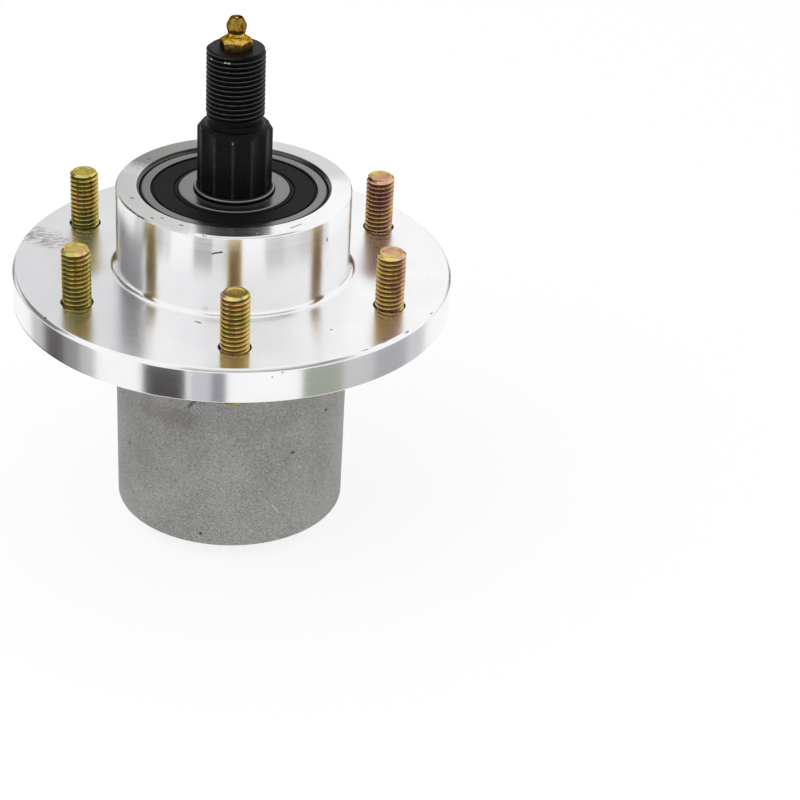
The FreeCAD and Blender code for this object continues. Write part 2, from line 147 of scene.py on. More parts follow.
# %% [markdown]
# ## Helpers for finishes
#
# Colours are written as sRGB hex values, the way a colour picker shows them, and one function turns them
# to the linear values that shaders use. One more function adds a node, sets it up and links it.
#
# A used part has nicks and scratches at places of its own. Each is a line between two points, and a texture
# coordinate's distance from that line says how deep in the mark it is. A little noise makes the rim ragged.
# Most pieces are turned, so another helper gives the distance from the shaft axis.

# %% Finish helpers
def to_linear(code):
    """Linear RGBA of an sRGB hex colour such as C8C8CA."""
    shares = [int(code[place:place + 2], 16) / 255 for place in (0, 2, 4)]
    linear = [share / 12.92 if share <= 0.04045 else ((share + 0.055) / 1.055) ** 2.4 for share in shares]
    return (*linear, 1.0)


def add_node(tree, kind, inputs=None, **settings):
    """New node with its settings; an input is a plain value, or another node's output to link."""
    node = tree.nodes.new(kind)
    for name, value in settings.items():
        setattr(node, name, value)
    for name, value in (inputs or {}).items():
        if isinstance(value, bpy.types.NodeSocket):
            tree.links.new(value, node.inputs[name])
        else:
            node.inputs[name].default_value = value
    return node


def new_finish(name, **constants):
    """Material with its node tree and Principled shader, whose constant sockets are set by name."""
    material = bpy.data.materials.new(name)
    material.use_nodes = True
    shader = material.node_tree.nodes["Principled BSDF"]
    for socket, value in constants.items():
        shader.inputs[socket.replace("_", " ")].default_value = value
    return material, material.node_tree, shader


# A Mix node keeps sockets for every data type; these are the places of its colour sockets.
MIX_FACTOR, MIX_A, MIX_B, MIX_RESULT = 0, 6, 7, 2


def grain(size_mm):
    """Noise scale, in cells per metre, for grain of a size in millimetres."""
    return 1 / (size_mm * MM)


def marks(tree, place, lines, reach_mm, ragged_mm, core=0.4):
    """Share, from 0 to 1, of nicks or scratches, each a line between two points in millimetres."""
    wander = add_node(tree, "ShaderNodeTexNoise", {"Vector": place, "Scale": grain(1.1), "Detail": 3.0})
    centred = add_node(tree, "ShaderNodeVectorMath", {
        0: wander.outputs["Color"], 1: (0.5, 0.5, 0.5)}, operation="SUBTRACT")
    shift = add_node(tree, "ShaderNodeVectorMath", {
        0: centred.outputs["Vector"], "Scale": ragged_mm * MM}, operation="SCALE")
    ragged = add_node(tree, "ShaderNodeVectorMath", {0: place, 1: shift.outputs["Vector"]})
    share = None
    for start, end in lines:
        start, end = Vector(start) * MM, Vector(end) * MM
        along = end - start
        offset = add_node(tree, "ShaderNodeVectorMath", {
            0: ragged.outputs["Vector"], 1: start}, operation="SUBTRACT")
        travel = add_node(tree, "ShaderNodeVectorMath", {
            0: offset.outputs["Vector"], 1: along / along.length_squared}, operation="DOT_PRODUCT")
        held = add_node(tree, "ShaderNodeClamp", {"Value": travel.outputs["Value"]})
        nearest = add_node(tree, "ShaderNodeVectorMath", {
            0: along, "Scale": held.outputs["Result"]}, operation="SCALE")
        gap = add_node(tree, "ShaderNodeVectorMath", {
            0: offset.outputs["Vector"], 1: nearest.outputs["Vector"]}, operation="DISTANCE")
        mark = add_node(tree, "ShaderNodeMapRange", {
            "Value": gap.outputs["Value"], "From Min": core * reach_mm * MM, "From Max": reach_mm * MM,
            "To Min": 1.0, "To Max": 0.0})
        if share:
            both = add_node(tree, "ShaderNodeMath", {
                0: share, 1: mark.outputs["Result"]}, operation="MAXIMUM")
            share = both.outputs["Value"]
        else:
            share = mark.outputs["Result"]
    return share


def axis_distance(tree, place):
    """Output that says, in metres, how far a point stands from the shaft axis."""
    flat = add_node(tree, "ShaderNodeVectorMath", {0: place, 1: (1, 1, 0)}, operation="MULTIPLY")
    length = add_node(tree, "ShaderNodeVectorMath", {0: flat.outputs["Vector"]}, operation="LENGTH")
    return length.outputs["Value"]


print("white is", to_linear("FFFFFF"))

# %% [markdown]
# ## Turned aluminium
#
# The hub, the flange and the bearing seats were turned on a lathe. A turned face is bright, and its fine
# rings spread a reflection across the rings but keep it sharp along them. Anisotropy does that: its
# direction runs round the axis, and a quarter turn makes the blur run across the rings. The rings
# themselves are noise on radius and height, which gives circles on the flat faces and bands on the walls.

# %% Turned aluminium
turned_aluminium, tree, shader = new_finish(
    "turned_aluminium", Metallic=1.0, Anisotropic=0.75, Anisotropic_Rotation=0.25)
place = add_node(tree, "ShaderNodeTexCoord").outputs["Object"]
radius = axis_distance(tree, place)
split = add_node(tree, "ShaderNodeSeparateXYZ", {0: place})
rings = add_node(tree, "ShaderNodeCombineXYZ", {"X": radius, "Z": split.outputs["Z"]})
tool_marks = add_node(tree, "ShaderNodeTexNoise", {
    "Vector": rings.outputs["Vector"], "Scale": grain(0.9), "Detail": 5.0, "Roughness": 0.75})
clouds = add_node(tree, "ShaderNodeTexNoise", {"Vector": place, "Scale": grain(18), "Detail": 3.0})
tone = add_node(tree, "ShaderNodeMath", {0: tool_marks.outputs["Fac"], 1: clouds.outputs["Fac"]})
shade = add_node(tree, "ShaderNodeMapRange", {
    "Value": tone.outputs["Value"], "From Min": 0.6, "From Max": 1.4})
colour = add_node(tree, "ShaderNodeMix", {
    MIX_FACTOR: shade.outputs["Result"], MIX_A: to_linear("F0F0F2"), MIX_B: to_linear("FCFCFC")},
    data_type="RGBA")
rough = add_node(tree, "ShaderNodeMapRange", {
    "Value": tool_marks.outputs["Fac"], "From Min": 0.25, "From Max": 0.75, "To Min": 0.17, "To Max": 0.25})
relief = add_node(tree, "ShaderNodeBump", {
    "Height": tool_marks.outputs["Fac"], "Strength": 0.35, "Distance": 0.014 * MM})
grooves = add_node(tree, "ShaderNodeTangent", direction_type="RADIAL", axis="Z")
tree.links.new(rough.outputs["Result"], shader.inputs["Roughness"])
tree.links.new(grooves.outputs["Tangent"], shader.inputs["Tangent"])
print("finish", turned_aluminium.name)

# %% [markdown]
# ## Marks on the turned faces
#
# This housing has been handled. Nicks and short scratches lie on the hub's rim and wall, on the flange and
# along its edge, and a patch of brown streaks lies on the flange at the left.
# Noise that is finer across one direction than along it draws those streaks.

# %% Nicks, scratches and streaks
nicks = marks(tree, place, [
    ((-28.6, 19.4, 28.5), (-28.0, 19.8, 28.5)),
    ((-33.2, -10.7, 28.5), (-32.8, -11.1, 28.5)),
    ((-31.4, -22.7, 28.3), (-29.2, -25.5, 28.3)),
    ((-26.6, -25.3, 28.5), (-26.0, -25.7, 28.5)),
    ((-23.4, -25.3, 28.5), (-23.0, -25.5, 28.5)),
    ((-17.4, -30.2, 28.5), (-16.8, -30.4, 28.5)),
    ((-10.1, -37.4, 28.3), (-9.3, -37.6, 28.3)),
    ((7.0, -36.0, 28.5), (7.4, -36.0, 28.5)),
    ((29.6, -25.1, 21.7), (29.6, -25.1, 21.1)),
    ((-7.1, -38.1, 22.4), (-4.2, -38.6, 23.2)),
    ((-12.2, -41.6, 0.0), (-10.8, -42.4, 0.0)),
    ((30.6, -46.2, 0.0), (30.9, -46.2, 0.0)),
    ((-60.2, -39.6, -0.2), (-59.6, -40.4, -0.2)),
], reach_mm=0.42, ragged_mm=0.9)
scratches = marks(tree, place, [
    ((17.7, -31.4, 28.5), (21.0, -28.4, 28.5)),
    ((39.8, -59.9, -0.2), (41.6, -58.7, -0.2)),
    ((46.8, -54.6, -0.2), (48.0, -53.5, -0.2)),
    ((54.5, -47.4, -0.2), (55.4, -46.3, -0.2)),
    ((63.6, -34.6, -0.2), (64.4, -33.2, -0.2)),
    ((14.5, -71.6, -1.5), (14.7, -71.5, -1.5)),
    ((11.4, -72.1, -2.8), (11.5, -72.1, -2.8)),
], reach_mm=0.27, ragged_mm=0.4)
dented = add_node(tree, "ShaderNodeMath", {0: nicks, 1: scratches}, operation="MAXIMUM")
streak_patch = marks(
    tree, place, [((-69.0, 20.5, 0.0), (-60.5, 14.5, 0.0))], reach_mm=7.0, ragged_mm=5.0)
along_streak, across_streak = grain(3.125), grain(1.1111)
streak_turn = add_node(tree, "ShaderNodeMapping", {
    "Vector": place, "Rotation": (0, 0, math.radians(20)),
    "Scale": (along_streak, across_streak, along_streak)})
streaks = add_node(tree, "ShaderNodeTexNoise", {
    "Vector": streak_turn.outputs["Vector"], "Scale": 1.0, "Detail": 3.0, "Roughness": 0.6})
streak_bands = add_node(tree, "ShaderNodeMapRange", {
    "Value": streaks.outputs["Fac"], "From Min": 0.4, "From Max": 0.72})
streaked_patch = add_node(tree, "ShaderNodeMath", {0: streak_patch, 1: streak_bands.outputs["Result"]}, operation="MULTIPLY")
print("marks on", turned_aluminium.name)

# %% [markdown]
# ## Film and dark edges
#
# Oil leaves a thin haze and a duller film on parts of the hub's top, and only there, so a test on height
# cuts both off at the wall. Painted shade darkens the mouths of the bore and of the stud holes, where the
# gaps beside the bearing rings and the studs lie in shadow, and painted shade darkens the flange's lower
# edge towards the left. Each of these is a share from 0 to 1, and a loop then lays their colours over the
# bright metal, one after another.

# %% Film and dark edges
haze = marks(tree, place, [
    ((-36.0, 3.0, 28.5), (-20.0, -30.0, 28.5)),
    ((33.0, 14.0, 28.5), (19.0, 31.0, 28.5)),
], reach_mm=12.0, ragged_mm=7.0)
film = marks(tree, place, [((-17.0, 31.0, 28.5), (-28.0, 22.0, 28.5))], reach_mm=14.0, ragged_mm=7.0)
on_top = add_node(tree, "ShaderNodeMath", {
    0: split.outputs["Z"], 1: (HUB_TOP - 0.7) * MM}, operation="GREATER_THAN")
hazed = add_node(tree, "ShaderNodeMath", {0: haze, 1: on_top.outputs["Value"]}, operation="MULTIPLY")
filmed = add_node(tree, "ShaderNodeMath", {0: film, 1: on_top.outputs["Value"]}, operation="MULTIPLY")
# Painted shade: a dark ring at the outer edge of the bore chamfer, where the gap beside the bearing lies in
# shadow.
bore_mouth_shade = add_node(tree, "ShaderNodeMapRange", {
    "Value": radius, "From Min": (BORE_MOUTH - 0.12) * MM, "From Max": (BORE_MOUTH + 0.08) * MM,
    "To Min": 0.9, "To Max": 0.0})
# Painted shade: a thin dark ring round each stud hole, where the gap beside the stud lies in shadow.
hole_mouth_shade = marks(
    tree, place, [(spot, spot + Vector((0.01, 0, 0))) for spot in stud_places],
    reach_mm=5.5, ragged_mm=0.0, core=0.95)
mouth_shade = add_node(tree, "ShaderNodeMath", {
    0: bore_mouth_shade.outputs["Result"], 1: hole_mouth_shade}, operation="MAXIMUM")
# Painted shade along the flange's lower edge, strongest towards the left.
below = add_node(tree, "ShaderNodeMapRange", {
    "Value": split.outputs["Z"], "From Min": (0.6 - FLANGE_THICKNESS) * MM,
    "From Max": (0.9 - FLANGE_THICKNESS) * MM, "To Min": 0.85, "To Max": 0.0})
leftward = add_node(tree, "ShaderNodeMapRange", {
    "Value": split.outputs["X"], "From Min": -62 * MM, "From Max": -44 * MM, "To Min": 1.0, "To Max": 0.0})
lower_edge_shade = add_node(tree, "ShaderNodeMath", {
    0: below.outputs["Result"], 1: leftward.outputs["Result"]}, operation="MULTIPLY")
# Laid on in turn: oil haze, oil film, brown streaks, painted shade in the mouths, painted shade on the
# lower edge, nicks and scratches.
coats = [
    (hazed, "D4D4D2"), (filmed, "908F8C"), (streaked_patch, "7C6E5A"),
    (mouth_shade, "1A1918"), (lower_edge_shade, "3C3B3A"), (dented, "565452"),
]
for share, code in coats:
    colour = add_node(tree, "ShaderNodeMix", {
        MIX_FACTOR: share.outputs["Value"], MIX_A: colour.outputs[MIX_RESULT], MIX_B: to_linear(code)},
        data_type="RGBA")
dent = add_node(tree, "ShaderNodeBump", {
    "Height": dented.outputs["Value"], "Strength": 0.6, "Distance": 0.15 * MM,
    "Normal": relief.outputs["Normal"]}, invert=True)
tree.links.new(colour.outputs[MIX_RESULT], shader.inputs["Base Color"])
tree.links.new(dent.outputs["Normal"], shader.inputs["Normal"])
print(len(coats), "layers over", turned_aluminium.name)

# %% [markdown]
# ## Cast aluminium
#
# The barrel was left as it came from the mould and then blasted with shot. The shot leaves small rounded
# dents, so the metal looks evenly grey with a fine worm-like grain. Two sizes of noise make it: dents of
# about half a millimetre, and slow changes of tone a few centimetres across. A smudge, four pits and a
# scratch are the marks that this casting carries, and a dark arc beside the pad's edge is painted shade.

# %% Cast aluminium
cast_aluminium, tree, shader = new_finish("cast_aluminium", Metallic=0.85, Roughness=0.6)
place = add_node(tree, "ShaderNodeTexCoord").outputs["Object"]
dents = add_node(tree, "ShaderNodeTexNoise", {
    "Vector": place, "Scale": grain(0.5), "Detail": 3.0, "Roughness": 0.6, "Distortion": 1.2})
patches = add_node(tree, "ShaderNodeTexNoise", {"Vector": place, "Scale": grain(16), "Detail": 3.0})
tone = add_node(tree, "ShaderNodeMath", {
    0: dents.outputs["Fac"], 1: 5.0, 2: patches.outputs["Fac"]}, operation="MULTIPLY_ADD")
shade = add_node(tree, "ShaderNodeMapRange", {
    "Value": tone.outputs["Value"], "From Min": 2.0, "From Max": 4.0})
colour = add_node(tree, "ShaderNodeMix", {
    MIX_FACTOR: shade.outputs["Result"], MIX_A: to_linear("7A7976"), MIX_B: to_linear("C6C5C3")},
    data_type="RGBA")
smudges = marks(
    tree, place, [((-28.2, -27.4, -39.7), (-14.9, -36.4, -39.6))], reach_mm=5.0, ragged_mm=5.0)
pits = marks(tree, place, [
    ((-34.7, -18.5, -59.3), (-34.5, -18.9, -59.3)),
    ((20.2, -33.7, -53.8), (20.6, -33.5, -53.8)),
    ((31.4, -23.7, -43.0), (31.6, -23.3, -43.0)),
    ((-10.6, -37.9, -83.4), (-10.2, -37.9, -83.4)),
], reach_mm=0.7, ragged_mm=0.8)
scratch = marks(
    tree, place, [((13.7, -36.7, -72.5), (16.2, -35.7, -76.3))], reach_mm=0.35, ragged_mm=0.5)
# Painted shade: a dark arc along the pad's edge, where the pad shades the barrel.
pad_edge_shade = marks(tree, place, [
    ((-11.4, -38.0, -30.3), (-12.7, -37.6, -32.0)),
    ((-12.7, -37.6, -32.0), (-14.6, -36.9, -34.7)),
], reach_mm=0.9, ragged_mm=0.6)
dulled = add_node(tree, "ShaderNodeMath", {0: smudges, 1: 0.25}, operation="MULTIPLY")
# The pits and the painted shade by the pad share one dark colour.
pits_and_pad_shade = add_node(tree, "ShaderNodeMath", {0: pits, 1: pad_edge_shade}, operation="MAXIMUM")
for share, code in (
        (dulled.outputs["Value"], "5E5850"), (pits_and_pad_shade.outputs["Value"], "4A4846"), (scratch, "D8D8D8")):
    colour = add_node(tree, "ShaderNodeMix", {
        MIX_FACTOR: share, MIX_A: colour.outputs[MIX_RESULT], MIX_B: to_linear(code)}, data_type="RGBA")
relief = add_node(tree, "ShaderNodeBump", {
    "Height": dents.outputs["Fac"], "Strength": 1.0, "Distance": 0.25 * MM})
tree.links.new(colour.outputs[MIX_RESULT], shader.inputs["Base Color"])
tree.links.new(relief.outputs["Normal"], shader.inputs["Normal"])
print("finish", cast_aluminium.name)

# %% [markdown]
# ## Black oxide steel
#
# The shaft is turned steel with a black oxide coat. The coat is thin, so it reflects like a dark metal, and
# it wears grey on the thread's crests and the drive's ridges. Those stand at known radii, so a colour ramp
# over the distance from the axis finds them. Four small chips show bright steel.

# %% Black oxide steel
black_steel, tree, shader = new_finish("black_oxide_steel", Metallic=1.0)
place = add_node(tree, "ShaderNodeTexCoord").outputs["Object"]
mottle = add_node(tree, "ShaderNodeTexNoise", {
    "Vector": place, "Scale": grain(1.6), "Detail": 5.0, "Roughness": 0.6})
colour = add_node(tree, "ShaderNodeMix", {
    MIX_FACTOR: mottle.outputs["Fac"], MIX_A: to_linear("141313"), MIX_B: to_linear("2B2A29")},
    data_type="RGBA")
RAMP_REACH = 20
out = add_node(tree, "ShaderNodeMapRange", {
    "Value": axis_distance(tree, place), "From Max": RAMP_REACH * MM})
edges = add_node(tree, "ShaderNodeValToRGB", {"Fac": out.outputs["Result"]})
stops = edges.color_ramp.elements
while len(stops) < 8:
    stops.new(0.5)
bands = ((9.3, 0), (9.5, 1.0), (9.6, 1.0), (9.7, 0), (12.0, 0), (12.23, 0.3), (12.27, 0.3), (12.3, 0))
for stop, (distance, worn) in zip(stops, bands):
    stop.position = distance / RAMP_REACH
    stop.color = (worn, worn, worn, 1)
rub = add_node(tree, "ShaderNodeMath", {
    0: edges.outputs["Color"], 1: mottle.outputs["Fac"]}, operation="MULTIPLY")
chips = marks(tree, place, [
    ((-8.0, -5.2, 74.5), (-7.9, -5.3, 74.5)),
    ((-3.6, -8.8, 74.9), (-3.4, -8.9, 74.9)),
    ((-2.4, -9.2, 74.8), (-2.3, -9.2, 74.8)),
    ((-1.2, -12.7, 48.7), (-1.0, -12.7, 48.5)),
], reach_mm=0.6, ragged_mm=0.3)
for share, code in ((rub.outputs["Value"], "7C7A78"), (chips, "E4E4E6")):
    colour = add_node(tree, "ShaderNodeMix", {
        MIX_FACTOR: share, MIX_A: colour.outputs[MIX_RESULT], MIX_B: to_linear(code)}, data_type="RGBA")
rough = add_node(tree, "ShaderNodeMapRange", {
    "Value": mottle.outputs["Fac"], "To Min": 0.4, "To Max": 0.62})
relief = add_node(tree, "ShaderNodeBump", {
    "Height": mottle.outputs["Fac"], "Strength": 0.2, "Distance": 0.03 * MM})
tree.links.new(colour.outputs[MIX_RESULT], shader.inputs["Base Color"])
tree.links.new(rough.outputs["Result"], shader.inputs["Roughness"])
tree.links.new(relief.outputs["Normal"], shader.inputs["Normal"])
print("finish", black_steel.name)

# %% [markdown]
# ## Bearing steel, balls, cages and springs
#
# Bearing rings are hardened and ground, which leaves a satin grey with fine rings. The balls are polished.
# Cage sheet, spacer tube and spring wire are plain drawn steel, a little duller and more even.

# %% Ground and drawn steels
def steel_finish(name, dark, pale, smooth, dull, ring_mm, corner=0.0):
    """Grey steel with fine rings round the shaft axis; a ring's corners can be darker, partly the dark
    scale of unground steel and partly painted shade of the gaps beside them.
    """
    material, tree, shader = new_finish(name, Metallic=1.0)
    place = add_node(tree, "ShaderNodeTexCoord").outputs["Object"]
    radius = axis_distance(tree, place)
    split = add_node(tree, "ShaderNodeSeparateXYZ", {0: place})
    rings = add_node(tree, "ShaderNodeCombineXYZ", {"X": radius, "Z": split.outputs["Z"]})
    grind = add_node(tree, "ShaderNodeTexNoise", {
        "Vector": rings.outputs["Vector"], "Scale": grain(ring_mm), "Detail": 4.0})
    colour = add_node(tree, "ShaderNodeMix", {
        MIX_FACTOR: grind.outputs["Fac"], MIX_A: to_linear(dark), MIX_B: to_linear(pale)}, data_type="RGBA")
    rough = add_node(tree, "ShaderNodeMapRange", {
        "Value": grind.outputs["Fac"], "To Min": smooth, "To Max": dull})
    # The rounded corners at the bore and at the outside go nearly black: partly the dark scale of unground
    # steel, partly painted shade of the gaps beside them.
    inner = add_node(tree, "ShaderNodeMapRange", {
        "Value": radius, "From Min": (RING_BORE + 0.9) * MM, "From Max": (RING_BORE + 1.2) * MM,
        "To Min": corner, "To Max": 0.0})
    outer = add_node(tree, "ShaderNodeMapRange", {
        "Value": radius, "From Min": (RING_OUTSIDE - 1.0) * MM, "From Max": (RING_OUTSIDE - 0.7) * MM,
        "To Max": corner})
    corners = add_node(tree, "ShaderNodeMath", {0: inner.outputs["Result"], 1: outer.outputs["Result"]})
    scaled_and_shaded = add_node(tree, "ShaderNodeMix", {
        MIX_FACTOR: corners.outputs["Value"], MIX_A: colour.outputs[MIX_RESULT],
        MIX_B: to_linear("1A1A1B")}, data_type="RGBA")
    tree.links.new(scaled_and_shaded.outputs[MIX_RESULT], shader.inputs["Base Color"])
    tree.links.new(rough.outputs["Result"], shader.inputs["Roughness"])
    return material


ground_steel = steel_finish("ground_bearing_steel", "707072", "88888A", 0.2, 0.34, 0.5, corner=0.95)
ball_steel = steel_finish("polished_ball_steel", "BDBDC1", "D2D2D6", 0.05, 0.12, 2.0)
cage_steel = steel_finish("pressed_cage_steel", "8C8983", "A5A29C", 0.3, 0.45, 1.0)
spacer_steel = steel_finish("drawn_tube_steel", "7F8082", "9A9B9D", 0.35, 0.5, 0.8)
spring_steel = steel_finish("spring_wire_steel", "77787B", "8F9093", 0.25, 0.4, 0.4)
print("finishes", ground_steel.name, ball_steel.name, cage_steel.name, spacer_steel.name, spring_steel.name)

# %% [markdown]
# ## Nitrile rubber
#
# The seals are black nitrile, moulded with a satin skin. It is not metal, so it only has the soft sheen of
# a plastic, with a fine moulding grain.

# %% Nitrile rubber
seal_rubber, tree, shader = new_finish("nitrile_rubber", Metallic=0.0, Specular_IOR_Level=0.12)
place = add_node(tree, "ShaderNodeTexCoord").outputs["Object"]
skin = add_node(tree, "ShaderNodeTexNoise", {"Vector": place, "Scale": grain(0.7), "Detail": 4.0})
colour = add_node(tree, "ShaderNodeMix", {
    MIX_FACTOR: skin.outputs["Fac"], MIX_A: to_linear("060607"), MIX_B: to_linear("0E0E0F")},
    data_type="RGBA")
rough = add_node(tree, "ShaderNodeMapRange", {"Value": skin.outputs["Fac"], "To Min": 0.5, "To Max": 0.68})
relief = add_node(tree, "ShaderNodeBump", {
    "Height": skin.outputs["Fac"], "Strength": 0.2, "Distance": 0.03 * MM})
tree.links.new(colour.outputs[MIX_RESULT], shader.inputs["Base Color"])
tree.links.new(rough.outputs["Result"], shader.inputs["Roughness"])
tree.links.new(relief.outputs["Normal"], shader.inputs["Normal"])
print("finish", seal_rubber.name)

# %% [markdown]
# ## Yellow zinc
#
# The studs and the grease fitting are zinc plated and then dipped in a yellow chromate. The film is thin
# enough to show interference colours, so the gold drifts to olive, green and rose from place to place.
# A colour ramp over slow noise gives that drift, and on the studs it leans to rose towards +X. The film is
# browner on the fitting. A darker copy of the finish on its hexagon's flats is painted shade. Painted shade
# also darkens the thread grooves, the stud heads under the flange and the fitting's neck and head; each
# mesh carries an attribute named groove that says how much painted shade lies at a point.

# %% Yellow zinc
def zinc_finish(name, ramp, drift_mm, swing, lean, smooth, dull):
    """Chromated zinc whose hue swings about the ramp's middle and leans with X."""
    material, tree, shader = new_finish(name, Metallic=1.0, Specular_Tint=to_linear("8A7A50"))
    place = add_node(tree, "ShaderNodeTexCoord").outputs["Object"]
    drift = add_node(tree, "ShaderNodeTexNoise", {
        "Vector": place, "Scale": grain(drift_mm), "Detail": 1.5, "Distortion": 0.6})
    swung = add_node(tree, "ShaderNodeMapRange", {
        "Value": drift.outputs["Fac"], "To Min": 0.5 - swing / 2, "To Max": 0.5 + swing / 2})
    across = add_node(tree, "ShaderNodeSeparateXYZ", {0: place})
    leaned = add_node(tree, "ShaderNodeMath", {
        0: across.outputs["X"], 1: lean / STUD_CIRCLE / MM, 2: swung.outputs["Result"]},
        operation="MULTIPLY_ADD")
    hue = add_node(tree, "ShaderNodeValToRGB", {"Fac": leaned.outputs["Value"]})
    stops = hue.color_ramp.elements
    while len(stops) < len(ramp):
        stops.new(0.5)
    for stop, (position, code) in zip(stops, ramp):
        stop.position = position
        stop.color = to_linear(code)
    grit = add_node(tree, "ShaderNodeTexNoise", {"Vector": place, "Scale": grain(0.5), "Detail": 3.0})
    rough = add_node(tree, "ShaderNodeMapRange", {
        "Value": grit.outputs["Fac"], "To Min": smooth, "To Max": dull})
    relief = add_node(tree, "ShaderNodeBump", {
        "Height": grit.outputs["Fac"], "Strength": 0.08, "Distance": 0.03 * MM})
    # Painted shade read from the mesh's groove attribute: thread grooves, stud heads under the flange, the
    # fitting's neck and head.
    depth = add_node(tree, "ShaderNodeAttribute", attribute_name="groove")
    groove_shade_share = add_node(tree, "ShaderNodeMapRange", {
        "Value": depth.outputs["Fac"], "From Min": 0.15, "From Max": 0.85, "To Max": 0.93})
    groove_shaded_hue = add_node(tree, "ShaderNodeMix", {
        MIX_FACTOR: groove_shade_share.outputs["Result"], MIX_A: hue.outputs["Color"], MIX_B: to_linear("3A2814")},
        data_type="RGBA")
    tree.links.new(groove_shaded_hue.outputs[MIX_RESULT], shader.inputs["Base Color"])
    tree.links.new(rough.outputs["Result"], shader.inputs["Roughness"])
    tree.links.new(relief.outputs["Normal"], shader.inputs["Normal"])
    return material


stud_zinc = zinc_finish(
    "yellow_zinc",
    [(0.2, "C2C07E"), (0.38, "EAD476"), (0.52, "F0D492"), (0.66, "E2BA98"), (0.8, "D4A49A")],
    drift_mm=7.0, swing=1.1, lean=0.16, smooth=0.2, dull=0.34)
fitting_zinc = zinc_finish(
    "fitting_zinc", [(0.3, "7A5420"), (0.42, "AC8030"), (0.58, "DDB850"), (0.75, "967A3C")],
    drift_mm=2.5, swing=1.2, lean=0.0, smooth=0.14, dull=0.32)
# Painted shade: a darker copy of the fitting's finish for the hexagon's upright flats.
flats_shaded_zinc = zinc_finish(
    "fitting_flats_shaded_zinc", [(0.3, "46341C"), (0.45, "6A5430"), (0.58, "7E663C"), (0.75, "5A4638")],
    drift_mm=1.5, swing=1.2, lean=0.0, smooth=0.25, dull=0.4)
print("finishes", stud_zinc.name, fitting_zinc.name, flats_shaded_zinc.name)

# %% [markdown]
# ## Turning and cutting
#
# Almost everything here was made on a lathe, so one helper does most of the modelling: it draws a half
# section as a face, rounds the corners with a vertex bevel, adds a holding point beside each corner so that
# smooth shading stays flat on the flat parts, and spins the outline once round the shaft axis.

# %% Modelling helpers
AXIS = Vector((0, 0, 1))
HOLD = 0.3
EDGE = 0.2


def turned(outline, steps=192):
    """Mesh turned from corners of (radius, height, rounding); points on the axis close it there."""
    bm = bmesh.new()
    corners = [bm.verts.new((radius, 0, height)) for radius, height, rounding in outline]
    bm.faces.new(corners)
    for corner, (radius, height, rounding) in zip(corners, outline):
        if rounding:
            bmesh.ops.bevel(
                bm, geom=[corner], offset=rounding, segments=6 if rounding > 0.4 else 3, profile=0.5,
                affect="VERTICES", material=-1)
    bmesh.ops.delete(bm, geom=list(bm.faces), context="FACES_ONLY")
    on_axis = [edge for edge in bm.edges if max(vert.co.x for vert in edge.verts) < 1e-6]
    bmesh.ops.delete(bm, geom=on_axis, context="EDGES")
    for edge in list(bm.edges):
        length = edge.calc_length()
        if length > 4 * HOLD:
            near, far = edge.verts
            middle = bmesh.utils.edge_split(edge, near, HOLD / length)[1]
            last = next(link for link in middle.link_edges if far in link.verts)
            bmesh.utils.edge_split(last, far, HOLD / (length - HOLD))
    bmesh.ops.spin(
        bm, geom=list(bm.verts) + list(bm.edges), cent=(0, 0, 0), axis=AXIS, dvec=(0, 0, 0),
        angle=2 * math.pi, steps=steps, use_merge=True)
    bmesh.ops.remove_doubles(bm, verts=bm.verts, dist=1e-4)
    bmesh.ops.recalc_face_normals(bm, faces=bm.faces)
    return bm


def joined(*parts):
    """One mesh from several."""
    whole = bmesh.new()
    for part in parts:
        shell = bpy.data.meshes.new("shell")
        part.to_mesh(shell)
        part.free()
        whole.from_mesh(shell)
        bpy.data.meshes.remove(shell)
    return whole


def carved(bm, cutter):
    """The mesh with the cutter's volume taken out by an exact boolean."""
    pair = []
    for part in (bm, cutter):
        shape = bpy.data.meshes.new("carving")
        part.to_mesh(shape)
        part.free()
        pair.append(bpy.data.objects.new("carving", shape))
        bpy.context.scene.collection.objects.link(pair[-1])
    cut = pair[0].modifiers.new("cut", "BOOLEAN")
    cut.operation = "DIFFERENCE"
    cut.solver = "EXACT"
    cut.object = pair[1]
    scene_state = bpy.context.evaluated_depsgraph_get()
    result = bpy.data.meshes.new_from_object(pair[0].evaluated_get(scene_state))
    whole = bmesh.new()
    whole.from_mesh(result)
    bpy.data.meshes.remove(result)
    for part in pair:
        bpy.data.meshes.remove(part.data)
    return whole


def add_piece(name, bm, finishes, body, slot, *nodes, sharp_degrees=30):
    """Object from a mesh in millimetres, with its finishes, body and the solids it stands for; the slot is
    not used.
    """
    bmesh.ops.scale(bm, vec=(MM, MM, MM), verts=bm.verts)
    for face in bm.faces:
        face.smooth = True
    mesh = bpy.data.meshes.new(name)
    bm.to_mesh(mesh)
    bm.free()
    mesh.set_sharp_from_angle(angle=math.radians(sharp_degrees))
    piece = bpy.data.objects.new(name, mesh)
    bpy.context.scene.collection.objects.link(piece)
    for finish in finishes:
        mesh.materials.append(finish)
    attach(piece, body)
    if nodes:
        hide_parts(*nodes)
    mesh.calc_loop_triangles()
    print("piece", name, len(mesh.loop_triangles), "triangles")
    return piece


print("helpers ready")

# %% [markdown]
# ## Housing
#
# One casting makes the hub, the flange and the barrel. The hub and the flange are turned bright, and the
# barrel keeps its cast skin, so the faces below the flange's rim get the cast finish. The stud holes are
# cut after the spin. Small roundings of about 0.2 mm stand for the edges a file breaks, and they catch
# the thin bright lines that real edges show.

